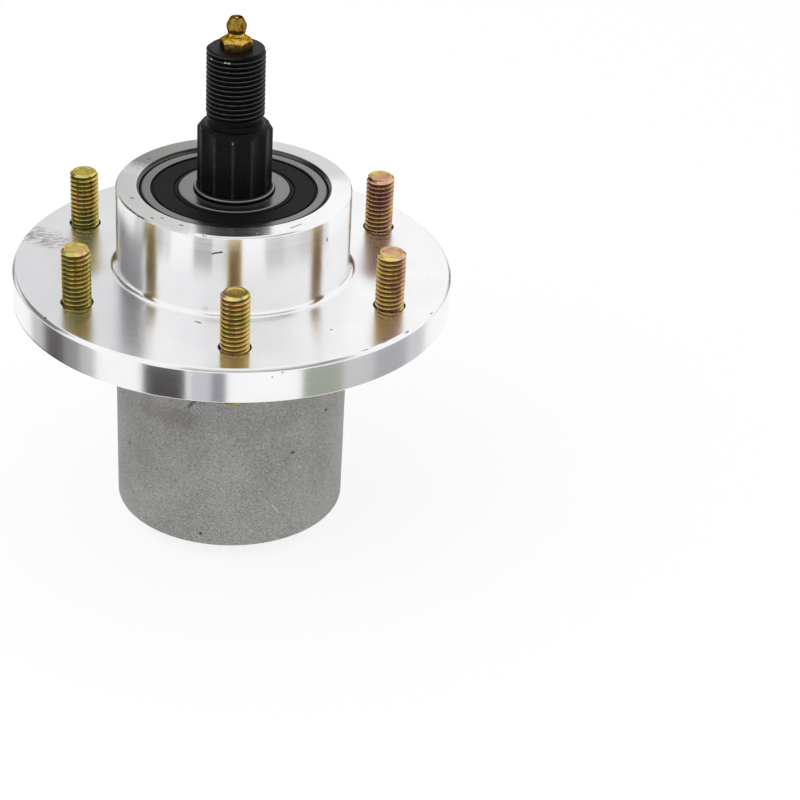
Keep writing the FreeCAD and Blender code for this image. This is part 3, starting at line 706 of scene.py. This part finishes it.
# %% Housing
HUB_CHAMFER = 0.5
RIM_CHAMFER = 1.0
UNDERSIDE_CHAMFER = 0.3
BARREL_TOP_RADIUS = 39.25
BARREL_FOOT_RADIUS = 38.95
CAVITY_RADIUS = 27.0
BEARING_RECESS = HUB_TOP - box_mm("upper_outer_ring")[1].z
BEARING_WIDTH = 17.0
upper_shoulder = HUB_TOP - BEARING_RECESS - BEARING_WIDTH
lower_shoulder = BARREL_BOTTOM + BEARING_RECESS + BEARING_WIDTH
housing = turned([
    (BORE_MOUTH, HUB_TOP, EDGE),
    (HUB_RADIUS - HUB_CHAMFER, HUB_TOP, EDGE / 2),
    (HUB_RADIUS, HUB_TOP - HUB_CHAMFER, EDGE / 2),
    (HUB_RADIUS, 0, 2.0),
    (FLANGE_RADIUS - RIM_CHAMFER, 0, EDGE),
    (FLANGE_RADIUS, -RIM_CHAMFER, EDGE),
    (FLANGE_RADIUS, UNDERSIDE_CHAMFER - FLANGE_THICKNESS, EDGE / 2),
    (FLANGE_RADIUS - UNDERSIDE_CHAMFER, -FLANGE_THICKNESS, EDGE / 2),
    (BARREL_TOP_RADIUS, -FLANGE_THICKNESS, 1.5),
    (BARREL_FOOT_RADIUS, BARREL_BOTTOM, 0.8),
    (BORE_MOUTH, BARREL_BOTTOM, EDGE),
    (BEARING_SEAT_RADIUS, BARREL_BOTTOM + BORE_CHAMFER, EDGE),
    (BEARING_SEAT_RADIUS, lower_shoulder, 0),
    (CAVITY_RADIUS, lower_shoulder, 0),
    (CAVITY_RADIUS, upper_shoulder, 0),
    (BEARING_SEAT_RADIUS, upper_shoulder, 0),
    (BEARING_SEAT_RADIUS, HUB_TOP - BORE_CHAMFER, EDGE),
], steps=256)
hole_cutters = bmesh.new()
for spot in stud_places:
    bmesh.ops.create_cone(
        hole_cutters, cap_ends=True, segments=64, radius1=STUD_HOLE_RADIUS, radius2=STUD_HOLE_RADIUS,
        depth=3 * FLANGE_THICKNESS, matrix=Matrix.Translation(spot))
housing = carved(housing, hole_cutters)
for face in housing.faces:
    middle = face.calc_center_median()
    below_rim = middle.z < 0.02 - FLANGE_THICKNESS
    outside = middle.xy.length > BARREL_FOOT_RADIUS - 1.2
    face.material_index = 1 if below_rim and outside else 0
add_piece(
    "housing", housing, [turned_aluminium, cast_aluminium], "housing", "housing_aluminium",
    "spindle_housing")

# %% [markdown]
# ## Casting pad
#
# A low round pad stands on the barrel below the flange. It is left bare. It is a disc with a few inset
# rings, so that it can bend, raised in the middle and wrapped round the barrel.

# %% Casting pad
PAD_RADIUS = 8.0
PAD_SKIRT = PAD_RADIUS + 0.3
PAD_SLOPE = 0.45
PAD_RELIEF = 0.6
PAD_SINK = 0.1
PAD_HEIGHT = -FLANGE_THICKNESS - 16.1
PAD_ANGLE = math.radians(-118)
pad = bmesh.new()
bmesh.ops.create_circle(pad, cap_ends=True, segments=96, radius=PAD_SKIRT)
for step_in in (0.15, 0.15, 0.15, 0.3, 1.2, 2.0, 2.0):
    widest = max(pad.faces, key=lambda face: len(face.verts))
    bmesh.ops.inset_region(pad, faces=[widest], thickness=step_in)
for vert in pad.verts:
    inward = min(1, max(0, (PAD_SKIRT - vert.co.xy.length) / PAD_SLOPE))
    rise = PAD_RELIEF * inward * inward * (3 - 2 * inward)
    reach = BARREL_TOP_RADIUS - PAD_SINK + rise
    angle = PAD_ANGLE + vert.co.x / BARREL_TOP_RADIUS
    vert.co = (reach * math.cos(angle), reach * math.sin(angle), PAD_HEIGHT + vert.co.y)
bmesh.ops.recalc_face_normals(pad, faces=pad.faces)
add_piece("casting_pad", pad, [cast_aluminium], "housing", "housing_aluminium")

# %% [markdown]
# ## Threads
#
# A thread is a zigzag that climbs one pitch in each turn. Its tooth is a few points, each a share of the
# pitch and a share of the depth. Spin makes the climb when it is given a small rise for each step. After a
# full turn every tooth meets the one above it, so merging doubles closes the helix. Points that stand
# outside the end cones are drawn in, and two plane cuts square off the ends. The cone at the foot can be
# long, so that the thread runs out slowly as it does where a die stopped.

# %% Thread helper
TOOTH = [
    (0.0, 0.35), (0.08, 0.0), (0.2, 0.0), (0.28, 0.35), (0.5, 0.9), (0.58, 1.0), (0.7, 1.0), (0.78, 0.9)]


def threaded(radius, bottom, top, lead, foot_radius, run_out, steps=48, phase=0.0):
    """Closed rod with a unified thread, chamfered at its top and running out to a foot radius."""
    bm = bmesh.new()
    turns = math.ceil((top - bottom) / THREAD_PITCH) + 3
    line = []
    for turn_number in range(turns):
        foot = bottom + (turn_number - 2) * THREAD_PITCH
        for share, sink in TOOTH:
            line.append(bm.verts.new((radius - sink * THREAD_DEPTH, 0, foot + share * THREAD_PITCH)))
    links = [bm.edges.new(pair) for pair in zip(line, line[1:])]
    bmesh.ops.spin(
        bm, geom=line + links, cent=(0, 0, 0), axis=AXIS, dvec=(0, 0, THREAD_PITCH / steps),
        angle=2 * math.pi, steps=steps)
    bmesh.ops.remove_doubles(bm, verts=bm.verts, dist=1e-3)
    for vert in bm.verts:
        climbed = (vert.co.z - bottom) / run_out
        limit = min(radius - lead + (top - vert.co.z), foot_radius + (radius - foot_radius) * climbed)
        out = vert.co.xy.length
        if out > limit > 0:
            vert.co.xy *= limit / out
    for height, normal in ((bottom, -AXIS), (top, AXIS)):
        cut = bmesh.ops.bisect_plane(
            bm, geom=list(bm.verts) + list(bm.edges) + list(bm.faces), plane_co=AXIS * height,
            plane_no=normal, clear_outer=True)
        rim = [part for part in cut["geom_cut"] if isinstance(part, bmesh.types.BMEdge)]
        bmesh.ops.contextual_create(bm, geom=rim)
    bmesh.ops.rotate(bm, cent=(0, 0, 0), matrix=Matrix.Rotation(phase, 3, "Z"), verts=bm.verts)
    bmesh.ops.recalc_face_normals(bm, faces=bm.faces)
    return bm


print("thread pitch", THREAD_PITCH, "mm, depth", THREAD_DEPTH, "mm")

# %% [markdown]
# ## Deck studs
#
# Six 3/8-16 studs are pressed up through the flange. Each has a round head below, a plain neck in the hole
# and the thread above, whose end has a shallow dish. No two threads start at the same angle on the real
# part, so each is turned by its own phase.

# %% Deck studs
HEAD_RADIUS = studs_high.x - stud_places[1].x
HEAD_BOTTOM = studs_low.z
HEAD_CHAMFER = 0.4
HEAD_SHADE = 0.6
PLAIN_NECK_RADIUS = STUD_HOLE_RADIUS - 0.02
NECK_TOP = 6.0 - FLANGE_THICKNESS
RELIEF_RADIUS = STUD_RADIUS - 0.5
THREAD_FOOT = -1.8
STUD_LEAD = 0.9
PHASE_STEP = math.radians(77)
DISH_FLOOR_RADIUS = 2.8
DISH_CUTTER_RADIUS = 3.2
DISH_CUTTER_DEPTH = 0.6
studs = []
for index, spot in enumerate(stud_places):
    shank = turned([
        (0, HEAD_BOTTOM, 0),
        (HEAD_RADIUS - HEAD_CHAMFER, HEAD_BOTTOM, EDGE),
        (HEAD_RADIUS, HEAD_BOTTOM + HEAD_CHAMFER, EDGE),
        (HEAD_RADIUS, -FLANGE_THICKNESS, EDGE),
        (PLAIN_NECK_RADIUS, -FLANGE_THICKNESS, 0),
        (PLAIN_NECK_RADIUS, NECK_TOP, EDGE),
        (RELIEF_RADIUS, NECK_TOP, 0),
        (RELIEF_RADIUS, THREAD_FOOT, 0),
        (0, THREAD_FOOT, 0),
    ], steps=48)
    thread = threaded(
        STUD_RADIUS, THREAD_FOOT, STUD_TOP, lead=STUD_LEAD, foot_radius=STUD_RADIUS - 0.4, run_out=0.4,
        phase=PHASE_STEP * index)
    dish = bmesh.new()
    bmesh.ops.create_cone(
        dish, cap_ends=True, segments=48, radius1=DISH_FLOOR_RADIUS, radius2=DISH_CUTTER_RADIUS,
        depth=DISH_CUTTER_DEPTH, matrix=Matrix.Translation((0, 0, STUD_TOP)))
    stud = joined(shank, carved(thread, dish))
    bmesh.ops.translate(stud, vec=spot, verts=stud.verts)
    studs.append(stud)
deck_studs = joined(*studs)
groove = deck_studs.verts.layers.float.new("groove")
# Painted shade: the stud heads under the flange get a fixed share, and the thread grooves a share by depth.
for vert in deck_studs.verts:
    out = min((vert.co.xy - spot.xy).length for spot in stud_places)
    if vert.co.z < 0.1 - FLANGE_THICKNESS:
        vert[groove] = HEAD_SHADE
    elif vert.co.z < STUD_TOP - STUD_LEAD - 0.05:
        vert[groove] = min(1, max(0, (STUD_RADIUS - out) / THREAD_DEPTH))
add_piece(
    "deck_studs", deck_studs, [stud_zinc], "housing", "yellow_zinc", "mounting_studs", sharp_degrees=40)

# %% [markdown]
# ## Ball bearings
#
# Each bearing shows the faces of its two rings and a black seal between them. The rings are turned with
# the roundings that real bearings have. The raceways are drawn as a notch whose bottom is rounded, and the
# balls and cages inside keep their solids.

# %% Ball bearings
HALF_WIDTH = BEARING_WIDTH / 2
SEAL_STEP = 27.4
OUTER_LAND = 25.2
INNER_LAND = 18.3
OUTER_RACE = 29.5
INNER_RACE = 14.0
RACE_EDGE = 5.0
RACE_ROUNDING = 4.2
RING_ROUNDING = 1.0
SEAL_INSIDE = 6.95
SEAL_OUTSIDE = 8.15
SEAL_FLOOR = SEAL_OUTSIDE - 0.54
SEAL_SNAP = SEAL_STEP - 0.02
SEAL_RIM = SEAL_STEP - 0.92
LIP_INSIDE = INNER_LAND + 0.1
LIP_OUTSIDE = INNER_LAND + 1.2
SEAL_FACE = INNER_LAND + 1.7
upper_middle = HUB_TOP - BEARING_RECESS - HALF_WIDTH
lower_middle = BARREL_BOTTOM + BEARING_RECESS + HALF_WIDTH


def raised(bm, height, flipped=False):
    """The mesh moved up the shaft axis, turned over first where it faces down."""
    if flipped:
        bmesh.ops.rotate(bm, cent=(0, 0, 0), matrix=Matrix.Rotation(math.pi, 3, "X"), verts=bm.verts)
    bmesh.ops.translate(bm, vec=AXIS * height, verts=bm.verts)
    return bm


def outer_ring():
    """Outer ring with a step for each seal and a rounded notch for the raceway."""
    return turned([
        (RING_OUTSIDE, -HALF_WIDTH, RING_ROUNDING),
        (RING_OUTSIDE, HALF_WIDTH, RING_ROUNDING),
        (SEAL_STEP, HALF_WIDTH, 0.3),
        (SEAL_STEP, SEAL_INSIDE, 0),
        (OUTER_LAND, SEAL_INSIDE, 0),
        (OUTER_LAND, RACE_EDGE, 0),
        (OUTER_RACE, 0, RACE_ROUNDING),
        (OUTER_LAND, -RACE_EDGE, 0),
        (OUTER_LAND, -SEAL_INSIDE, 0),
        (SEAL_STEP, -SEAL_INSIDE, 0),
        (SEAL_STEP, -HALF_WIDTH, 0.3),
    ])


def inner_ring():
    """Inner ring with a rounded bore edge and a rounded notch for the raceway."""
    return turned([
        (RING_BORE, HALF_WIDTH, RING_ROUNDING),
        (RING_BORE, -HALF_WIDTH, RING_ROUNDING),
        (INNER_LAND, -HALF_WIDTH, 0.35),
        (INNER_LAND, -RACE_EDGE, 0),
        (INNER_RACE, 0, RACE_ROUNDING),
        (INNER_LAND, RACE_EDGE, 0),
        (INNER_LAND, HALF_WIDTH, 0.35),
    ])


def seal():
    """Seal with a lip, a fine groove behind it, a flat face and a low rim."""
    return turned([
        (LIP_INSIDE, SEAL_INSIDE, 0),
        (SEAL_SNAP, SEAL_INSIDE, 0),
        (SEAL_SNAP, SEAL_FLOOR, 0),
        (SEAL_RIM, SEAL_FLOOR, 0),
        (SEAL_RIM, SEAL_OUTSIDE, EDGE),
        (SEAL_FACE, SEAL_OUTSIDE, EDGE),
        (SEAL_FACE, SEAL_FLOOR, 0),
        (LIP_OUTSIDE, SEAL_FLOOR, 0),
        (LIP_OUTSIDE, SEAL_OUTSIDE, EDGE),
        (LIP_INSIDE, SEAL_OUTSIDE, EDGE),
    ])


for place_name, middle in (("upper", upper_middle), ("lower", lower_middle)):
    add_piece(
        f"{place_name}_bearing_outer", raised(outer_ring(), middle), [ground_steel], "housing",
        "bearing_steel", f"{place_name}_outer_ring")
    add_piece(
        f"{place_name}_bearing_inner", raised(inner_ring(), middle), [ground_steel], "shaft",
        "bearing_steel", f"{place_name}_inner_ring")
    add_piece(
        f"{place_name}_seal_upward", raised(seal(), middle), [seal_rubber], "housing", "seal_rubber",
        f"{place_name}_seal_top")
    add_piece(
        f"{place_name}_seal_downward", raised(seal(), middle, flipped=True), [seal_rubber], "housing",
        "seal_rubber", f"{place_name}_seal_bottom")

# %% [markdown]
# ## Shaft
#
# The shaft is turned first and its twelve flutes are cut afterwards, as on the real one. Each flute is a
# round groove, so where it meets the bevelled shoulder it ends in an arch. The nut thread stands on the
# neck above.

# %% Shaft
JOURNAL_RADIUS = 12.48
JOURNAL_TOP = 29.0
SPLINE_TIP = 12.25
SPLINE_ROOT = 11.23
FLUTE_COUNT = 12
FLUTE_RADIUS = 6.464
FLUTE_LENGTH = 30
RIDGE_ANGLE = 26.5
SHOULDER = 51.0
SHOULDER_BEVEL = 1.75
NECK_RADIUS = 8.75
THREAD_START = 52.3
BOSS_RADIUS = shaft_high.x
BOSS_CHAMFER = 0.8
BOLT_HOLE_DEPTH = 38.0
BOLT_HOLE_CHAMFER = 1.2
DRILL_POINT = 4.12
LOWER_SEAT = BARREL_BOTTOM + BEARING_RECESS
blank = turned([
    (0, FLOOR + BOLT_HOLE_DEPTH + DRILL_POINT, 0),
    (BOLT_HOLE_RADIUS, FLOOR + BOLT_HOLE_DEPTH, 0),
    (BOLT_HOLE_RADIUS, FLOOR + BOLT_HOLE_CHAMFER, EDGE),
    (BOLT_HOLE_RADIUS + BOLT_HOLE_CHAMFER, FLOOR, EDGE),
    (BOSS_RADIUS - BOSS_CHAMFER, FLOOR, EDGE),
    (BOSS_RADIUS, FLOOR + BOSS_CHAMFER, EDGE),
    (BOSS_RADIUS, LOWER_SEAT - BOSS_CHAMFER, EDGE),
    (BOSS_RADIUS - BOSS_CHAMFER, LOWER_SEAT, EDGE),
    (JOURNAL_RADIUS, LOWER_SEAT, 0),
    (JOURNAL_RADIUS, JOURNAL_TOP - JOURNAL_RADIUS + SPLINE_TIP, 0),
    (SPLINE_TIP, JOURNAL_TOP, 0),
    (SPLINE_TIP, SHOULDER - SHOULDER_BEVEL, EDGE),
    (SPLINE_TIP - SHOULDER_BEVEL, SHOULDER, EDGE),
    (NECK_RADIUS, SHOULDER, 0.3),
    (NECK_RADIUS, THREAD_START, 0),
    (0, THREAD_START, 0),
])
flute_cutters = bmesh.new()
for index in range(FLUTE_COUNT):
    angle = math.radians(RIDGE_ANGLE + (index + 0.5) * 360 / FLUTE_COUNT)
    reach = SPLINE_ROOT + FLUTE_RADIUS
    spot = Vector((reach * math.cos(angle), reach * math.sin(angle), JOURNAL_TOP + FLUTE_LENGTH / 2))
    bmesh.ops.create_cone(
        flute_cutters, cap_ends=True, segments=128, radius1=FLUTE_RADIUS, radius2=FLUTE_RADIUS,
        depth=FLUTE_LENGTH, matrix=Matrix.Translation(spot))
fluted = carved(blank, flute_cutters)
nut_thread = threaded(
    NUT_THREAD_RADIUS, THREAD_START, SHAFT_TOP, lead=0.55, foot_radius=NECK_RADIUS, run_out=2.3, steps=96,
    phase=4.3)
add_piece("shaft", joined(fluted, nut_thread), [black_steel], "shaft", "black_steel", "spindle_shaft")

# %% [markdown]
# ## Retaining ring
#
# An open ring of round wire snaps into a groove in the shaft just above the bearing. Its section is a small
# circle, stood upright and spun most of the way round, so that a gap is left for the pliers.

# %% Retaining ring
ring_low, ring_high = box_mm("retaining_ring")
RING_WIRE_RADIUS = (ring_high.z - ring_low.z) / 2
RING_RADIUS = ring_high.x - RING_WIRE_RADIUS
RING_START = math.radians(172)
RING_SWEEP = math.radians(338)
wire_ring = bmesh.new()
bmesh.ops.create_circle(
    wire_ring, cap_ends=True, segments=24, radius=RING_WIRE_RADIUS,
    matrix=Matrix.Rotation(math.pi / 2, 4, "X"))
bmesh.ops.translate(wire_ring, vec=(RING_RADIUS, 0, ring_low.z + RING_WIRE_RADIUS), verts=wire_ring.verts)
bmesh.ops.rotate(
    wire_ring, cent=(0, 0, 0), matrix=Matrix.Rotation(RING_START, 3, "Z"), verts=wire_ring.verts)
bmesh.ops.spin(
    wire_ring, geom=list(wire_ring.verts) + list(wire_ring.edges) + list(wire_ring.faces), cent=(0, 0, 0),
    axis=AXIS, dvec=(0, 0, 0), angle=RING_SWEEP, steps=160)
bmesh.ops.recalc_face_normals(wire_ring, faces=wire_ring.faces)
add_piece("retaining_wire", wire_ring, [spring_steel], "shaft", "spring_steel", "retaining_ring")

# %% [markdown]
# ## Grease fitting
#
# A small nipple screws into the shaft's end. Its hexagon is a six-sided circle pulled up and then cut to a
# cone, which leaves an arch on each flat. The rest is turned: the neck, and the round head that a grease
# coupler grips. The bore holds the check ball.

# %% Grease fitting
HEX_FLATS = 9.5
HEX_CORNER = HEX_FLATS / math.sqrt(3)
HEX_ANGLE = math.radians(-74.4)
HEX_CORNER_TOP = SHAFT_TOP + 2.2
CONE_TOP = HEX_CORNER_TOP + 1.9
SHANK_RADIUS = 3.175
NIPPLE_NECK = 2.75
NIPPLE_HEAD = 3.25
HEAD_START = CONE_TOP + 1.9
NECK_START = CONE_TOP + 0.9
MOUTH_RADIUS = 0.88
BALL_BORE = 1.25
FEED_RADIUS = 0.7
FEED_TOP = fitting_low.z + 0.6
FITTING_TOP = fitting_high.z
hexagon = bmesh.new()
bmesh.ops.create_circle(hexagon, cap_ends=True, segments=6, radius=HEX_CORNER)
pulled = bmesh.ops.extrude_face_region(hexagon, geom=list(hexagon.faces))
top_corners = [part for part in pulled["geom"] if isinstance(part, bmesh.types.BMVert)]
bmesh.ops.translate(hexagon, vec=AXIS * (CONE_TOP - SHAFT_TOP), verts=top_corners)
bmesh.ops.rotate(
    hexagon, cent=(0, 0, 0), matrix=Matrix.Rotation(HEX_ANGLE - math.pi / 2, 3, "Z"), verts=hexagon.verts)
bmesh.ops.translate(hexagon, vec=AXIS * SHAFT_TOP, verts=hexagon.verts)
bmesh.ops.recalc_face_normals(hexagon, faces=hexagon.faces)
upright = [edge for edge in hexagon.edges if abs(edge.verts[0].co.z - edge.verts[1].co.z) > 1]
bmesh.ops.bevel(hexagon, geom=upright, offset=0.25, segments=3, profile=0.5, affect="EDGES", material=-1)
cone_cutter = turned([
    (NIPPLE_NECK, CONE_TOP, 0),
    (HEX_CORNER, HEX_CORNER_TOP, 0),
    (HEX_CORNER + 2, HEX_CORNER_TOP, 0),
    (HEX_CORNER + 2, CONE_TOP + 1, 0),
    (NIPPLE_NECK, CONE_TOP + 1, 0),
], steps=96)
hexagon = carved(hexagon, cone_cutter)
nipple = turned([
    (FEED_RADIUS, fitting_low.z, 0),
    (SHANK_RADIUS, fitting_low.z, EDGE),
    (SHANK_RADIUS, SHAFT_TOP + 0.5, 0),
    (NIPPLE_NECK, SHAFT_TOP + 0.5, 0),
    (NIPPLE_NECK, CONE_TOP + 1.0, 0.5),
    (NIPPLE_HEAD, CONE_TOP + 2.7, 0.45),
    (NIPPLE_HEAD, CONE_TOP + 3.6, 0.4),
    (2.0, FITTING_TOP, 0.35),
    (MOUTH_RADIUS + 0.17, FITTING_TOP, EDGE / 2),
    (MOUTH_RADIUS, FITTING_TOP - 0.2, 0),
    (MOUTH_RADIUS, FITTING_TOP - 0.4, 0),
    (BALL_BORE, FITTING_TOP - 0.9, 0),
    (BALL_BORE, FEED_TOP, 0),
    (FEED_RADIUS, FEED_TOP, 0),
], steps=96)
# The hexagon's upright flats take the darker copy of the finish, which is painted shade.
for face in hexagon.faces:
    face.material_index = 1 if abs(face.normal.z) < 0.2 else 0
fitting = joined(hexagon, nipple)
groove = fitting.verts.layers.float.new("groove")
# Painted shade on the fitting's head and neck.
for vert in fitting.verts:
    if vert.co.z > HEAD_START:
        vert[groove] = 0.55
    elif vert.co.z > NECK_START:
        vert[groove] = 0.7
add_piece(
    "grease_fitting", fitting, [fitting_zinc, flats_shaded_zinc], "shaft", "fitting_zinc", "grease_fitting_body",
    sharp_degrees=40)

# %% [markdown]
# ## Check spring
#
# A small coil spring closes the check ball in the fitting's mouth. It is a circle swept round and up.

# %% Check spring
spring_low, spring_high = box_mm("grease_spring")
COIL_WIRE_RADIUS = 0.16
COIL_TURNS = 7
coil_steps = 24 * COIL_TURNS
climb = spring_high.z - spring_low.z - 2 * COIL_WIRE_RADIUS
wire_start = Matrix.Translation((spring_high.x - COIL_WIRE_RADIUS, 0, spring_low.z + COIL_WIRE_RADIUS))
spring = bmesh.new()
bmesh.ops.create_circle(
    spring, segments=10, radius=COIL_WIRE_RADIUS, matrix=wire_start @ Matrix.Rotation(math.pi / 2, 4, "X"))
bmesh.ops.spin(
    spring, geom=list(spring.verts) + list(spring.edges), cent=(0, 0, 0), axis=AXIS,
    dvec=(0, 0, climb / coil_steps), angle=2 * math.pi * COIL_TURNS, steps=coil_steps)
bmesh.ops.holes_fill(spring, edges=spring.edges)
bmesh.ops.recalc_face_normals(spring, faces=spring.faces)
check_spring = add_piece("check_spring", spring, [spring_steel], "shaft", "spring_steel", "grease_spring")
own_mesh(check_spring)

# %% [markdown]
# ## Pieces that keep their solids
#
# The balls, cages, rivets, spacer and check ball are hidden or tiny, and their solids are already right.
# They only need their finishes.

# %% Finishes for the inner pieces
inner_finishes = {
    "ball_steel": ball_steel,
    "cage_steel": cage_steel,
    "spacer_steel": spacer_steel,
}
slots = {subpart["node"]: subpart["material_slot"] for subpart in frame["record"]["subparts"]}
for node, solid in frame["nodes"].items():
    finish = inner_finishes.get(slots[node])
    if finish:
        solid.data.materials.clear()
        solid.data.materials.append(finish)
        print("solid", node, finish.name)

# %% [markdown]
# ## Floor
#
# The part stands on a pale floor. To the camera and to reflections the floor is mostly plain white, and the
# little that is left of its own shading keeps the part's shadow. From below it is clear, so that the
# underside can be looked at.

# %% Floor
floor_paint, tree, shader = new_finish("floor_paint", Roughness=0.9, Specular_IOR_Level=0.0)
shader.inputs["Base Color"].default_value = to_linear("F8F8F8")
ray = add_node(tree, "ShaderNodeLightPath")
seen = add_node(tree, "ShaderNodeMath", {
    0: ray.outputs["Is Camera Ray"], 1: ray.outputs["Is Glossy Ray"]}, operation="MAXIMUM")
WHITE_SHARE = 0.8
WHITE_STRENGTH = 1.04
lift = add_node(tree, "ShaderNodeMath", {0: seen.outputs["Value"], 1: WHITE_SHARE}, operation="MULTIPLY")
white = add_node(tree, "ShaderNodeEmission", {"Color": (1, 1, 1, 1), "Strength": WHITE_STRENGTH})
lifted = add_node(tree, "ShaderNodeMixShader", {
    0: lift.outputs["Value"], 1: shader.outputs["BSDF"], 2: white.outputs["Emission"]})
below = add_node(tree, "ShaderNodeNewGeometry")
clear = add_node(tree, "ShaderNodeBsdfTransparent")
one_sided = add_node(tree, "ShaderNodeMixShader", {
    0: below.outputs["Backfacing"], 1: lifted.outputs["Shader"], 2: clear.outputs["BSDF"]})
tree.links.new(one_sided.outputs["Shader"], tree.nodes["Material Output"].inputs["Surface"])
REACH = 4000
ground = bmesh.new()
bmesh.ops.create_grid(
    ground, x_segments=1, y_segments=1, size=REACH * MM, matrix=Matrix.Translation((0, 0, FLOOR * MM)))
ground_mesh = bpy.data.meshes.new("floor")
ground.to_mesh(ground_mesh)
ground.free()
ground_mesh.materials.append(floor_paint)
panel = bpy.data.objects.new("floor", ground_mesh)
bpy.context.scene.collection.objects.link(panel)
print("floor at", FLOOR, "mm")

# %% [markdown]
# ## Light
#
# A white studio tent lights the part from all sides, and one soft lamp at the front left shapes it. Bright
# metal shows what surrounds it, so the lamp is left out of reflections, which show the even tent alone.

# %% Studio light
world = bpy.data.worlds.new("studio_tent")
bpy.context.scene.world = world
world.use_nodes = True
tree = world.node_tree
ray = add_node(tree, "ShaderNodeLightPath")
seen = add_node(tree, "ShaderNodeMath", {
    0: ray.outputs["Is Camera Ray"], 1: ray.outputs["Is Glossy Ray"]}, operation="MAXIMUM")
strength = add_node(tree, "ShaderNodeMapRange", {
    "Value": seen.outputs["Value"], "To Min": 0.8, "To Max": 1.0})
tent = tree.nodes["Background"]
tent.inputs["Color"].default_value = (1, 1, 1, 1)
tree.links.new(strength.outputs["Result"], tent.inputs["Strength"])
KEY_SPOT = Vector((-700, -500, 900)) * MM
lamp = bpy.data.lights.new("key", "AREA")
lamp.size = 1100 * MM
lamp.energy = 4.0
holder = bpy.data.objects.new("key", lamp)
bpy.context.scene.collection.objects.link(holder)
holder.location = KEY_SPOT
holder.rotation_euler = (-KEY_SPOT).to_track_quat("-Z", "Y").to_euler()
holder.visible_glossy = False
print("lights ready")

# %% [markdown]
# ## Flags
#
# A photographer sets dark and grey cards round bright metal, so that its edges stand out from a white
# ground. These are curved cards round the shaft axis. They show in reflections only, cast no shadow, and
# each has a shade of its own. A low wall behind darkens the edges, two cards at the back left grey that
# side, one high in front gives threads their depth, and a row of small ones close below draws the bands on
# the flange's rim.

# %% Flags
def flag(name, distance, bottom, top, start, end, shade):
    """Card bent round the shaft axis from one angle to another, in millimetres and degrees."""
    bm = bmesh.new()
    edge = [bm.verts.new((distance * MM, 0, height * MM)) for height in (bottom, top)]
    geometry = edge + [bm.edges.new(edge)]
    bmesh.ops.rotate(bm, cent=(0, 0, 0), matrix=Matrix.Rotation(math.radians(start), 3, "Z"), verts=edge)
    bmesh.ops.spin(
        bm, geom=geometry, cent=(0, 0, 0), axis=AXIS, dvec=(0, 0, 0), angle=math.radians(end - start),
        steps=24)
    mesh = bpy.data.meshes.new(name)
    bm.to_mesh(mesh)
    bm.free()
    paint = new_finish(
        name, Base_Color=(0, 0, 0, 1), Specular_IOR_Level=0.0, Emission_Color=to_linear(shade),
        Emission_Strength=1.0)[0]
    mesh.materials.append(paint)
    card = bpy.data.objects.new(name, mesh)
    bpy.context.scene.collection.objects.link(card)
    card.visible_camera = False
    card.visible_diffuse = False
    card.visible_shadow = False
    card.visible_transmission = False


flag("flag_behind", 1200, FLOOR, 90, 25, 155, "33312F")
flag("flag_back_left", 1200, 320, 1000, 118, 172, "6E6E70")
flag("flag_in_front", 1500, 1350, 2300, -122, -15, "646466")
flag("flag_left", 400, 90, 420, 95, 125, "DEDEE0")
rim_shades = [
    (172, 184, "C4C4C4"), (184, 197.5, "4E4A48"), (197.5, 207, "8C8A8A"), (207, 215, "C0BEBE"),
    (-124, -107.5, "2E2826"), (-106, -98, "C4C2CA"), (-98, -92.8, "82828E"),
    (-64.5, -48, "9AA092"), (-48, -33, "C6C6C6"), (-33, -14, "AAAAAE"), (-14, 0, "CECED0"),
]
for number, (start, end, shade) in enumerate(rim_shades):
    flag(f"rim_flag_{number}", 130, -78, -18, start, end, shade)
print("flags ready")
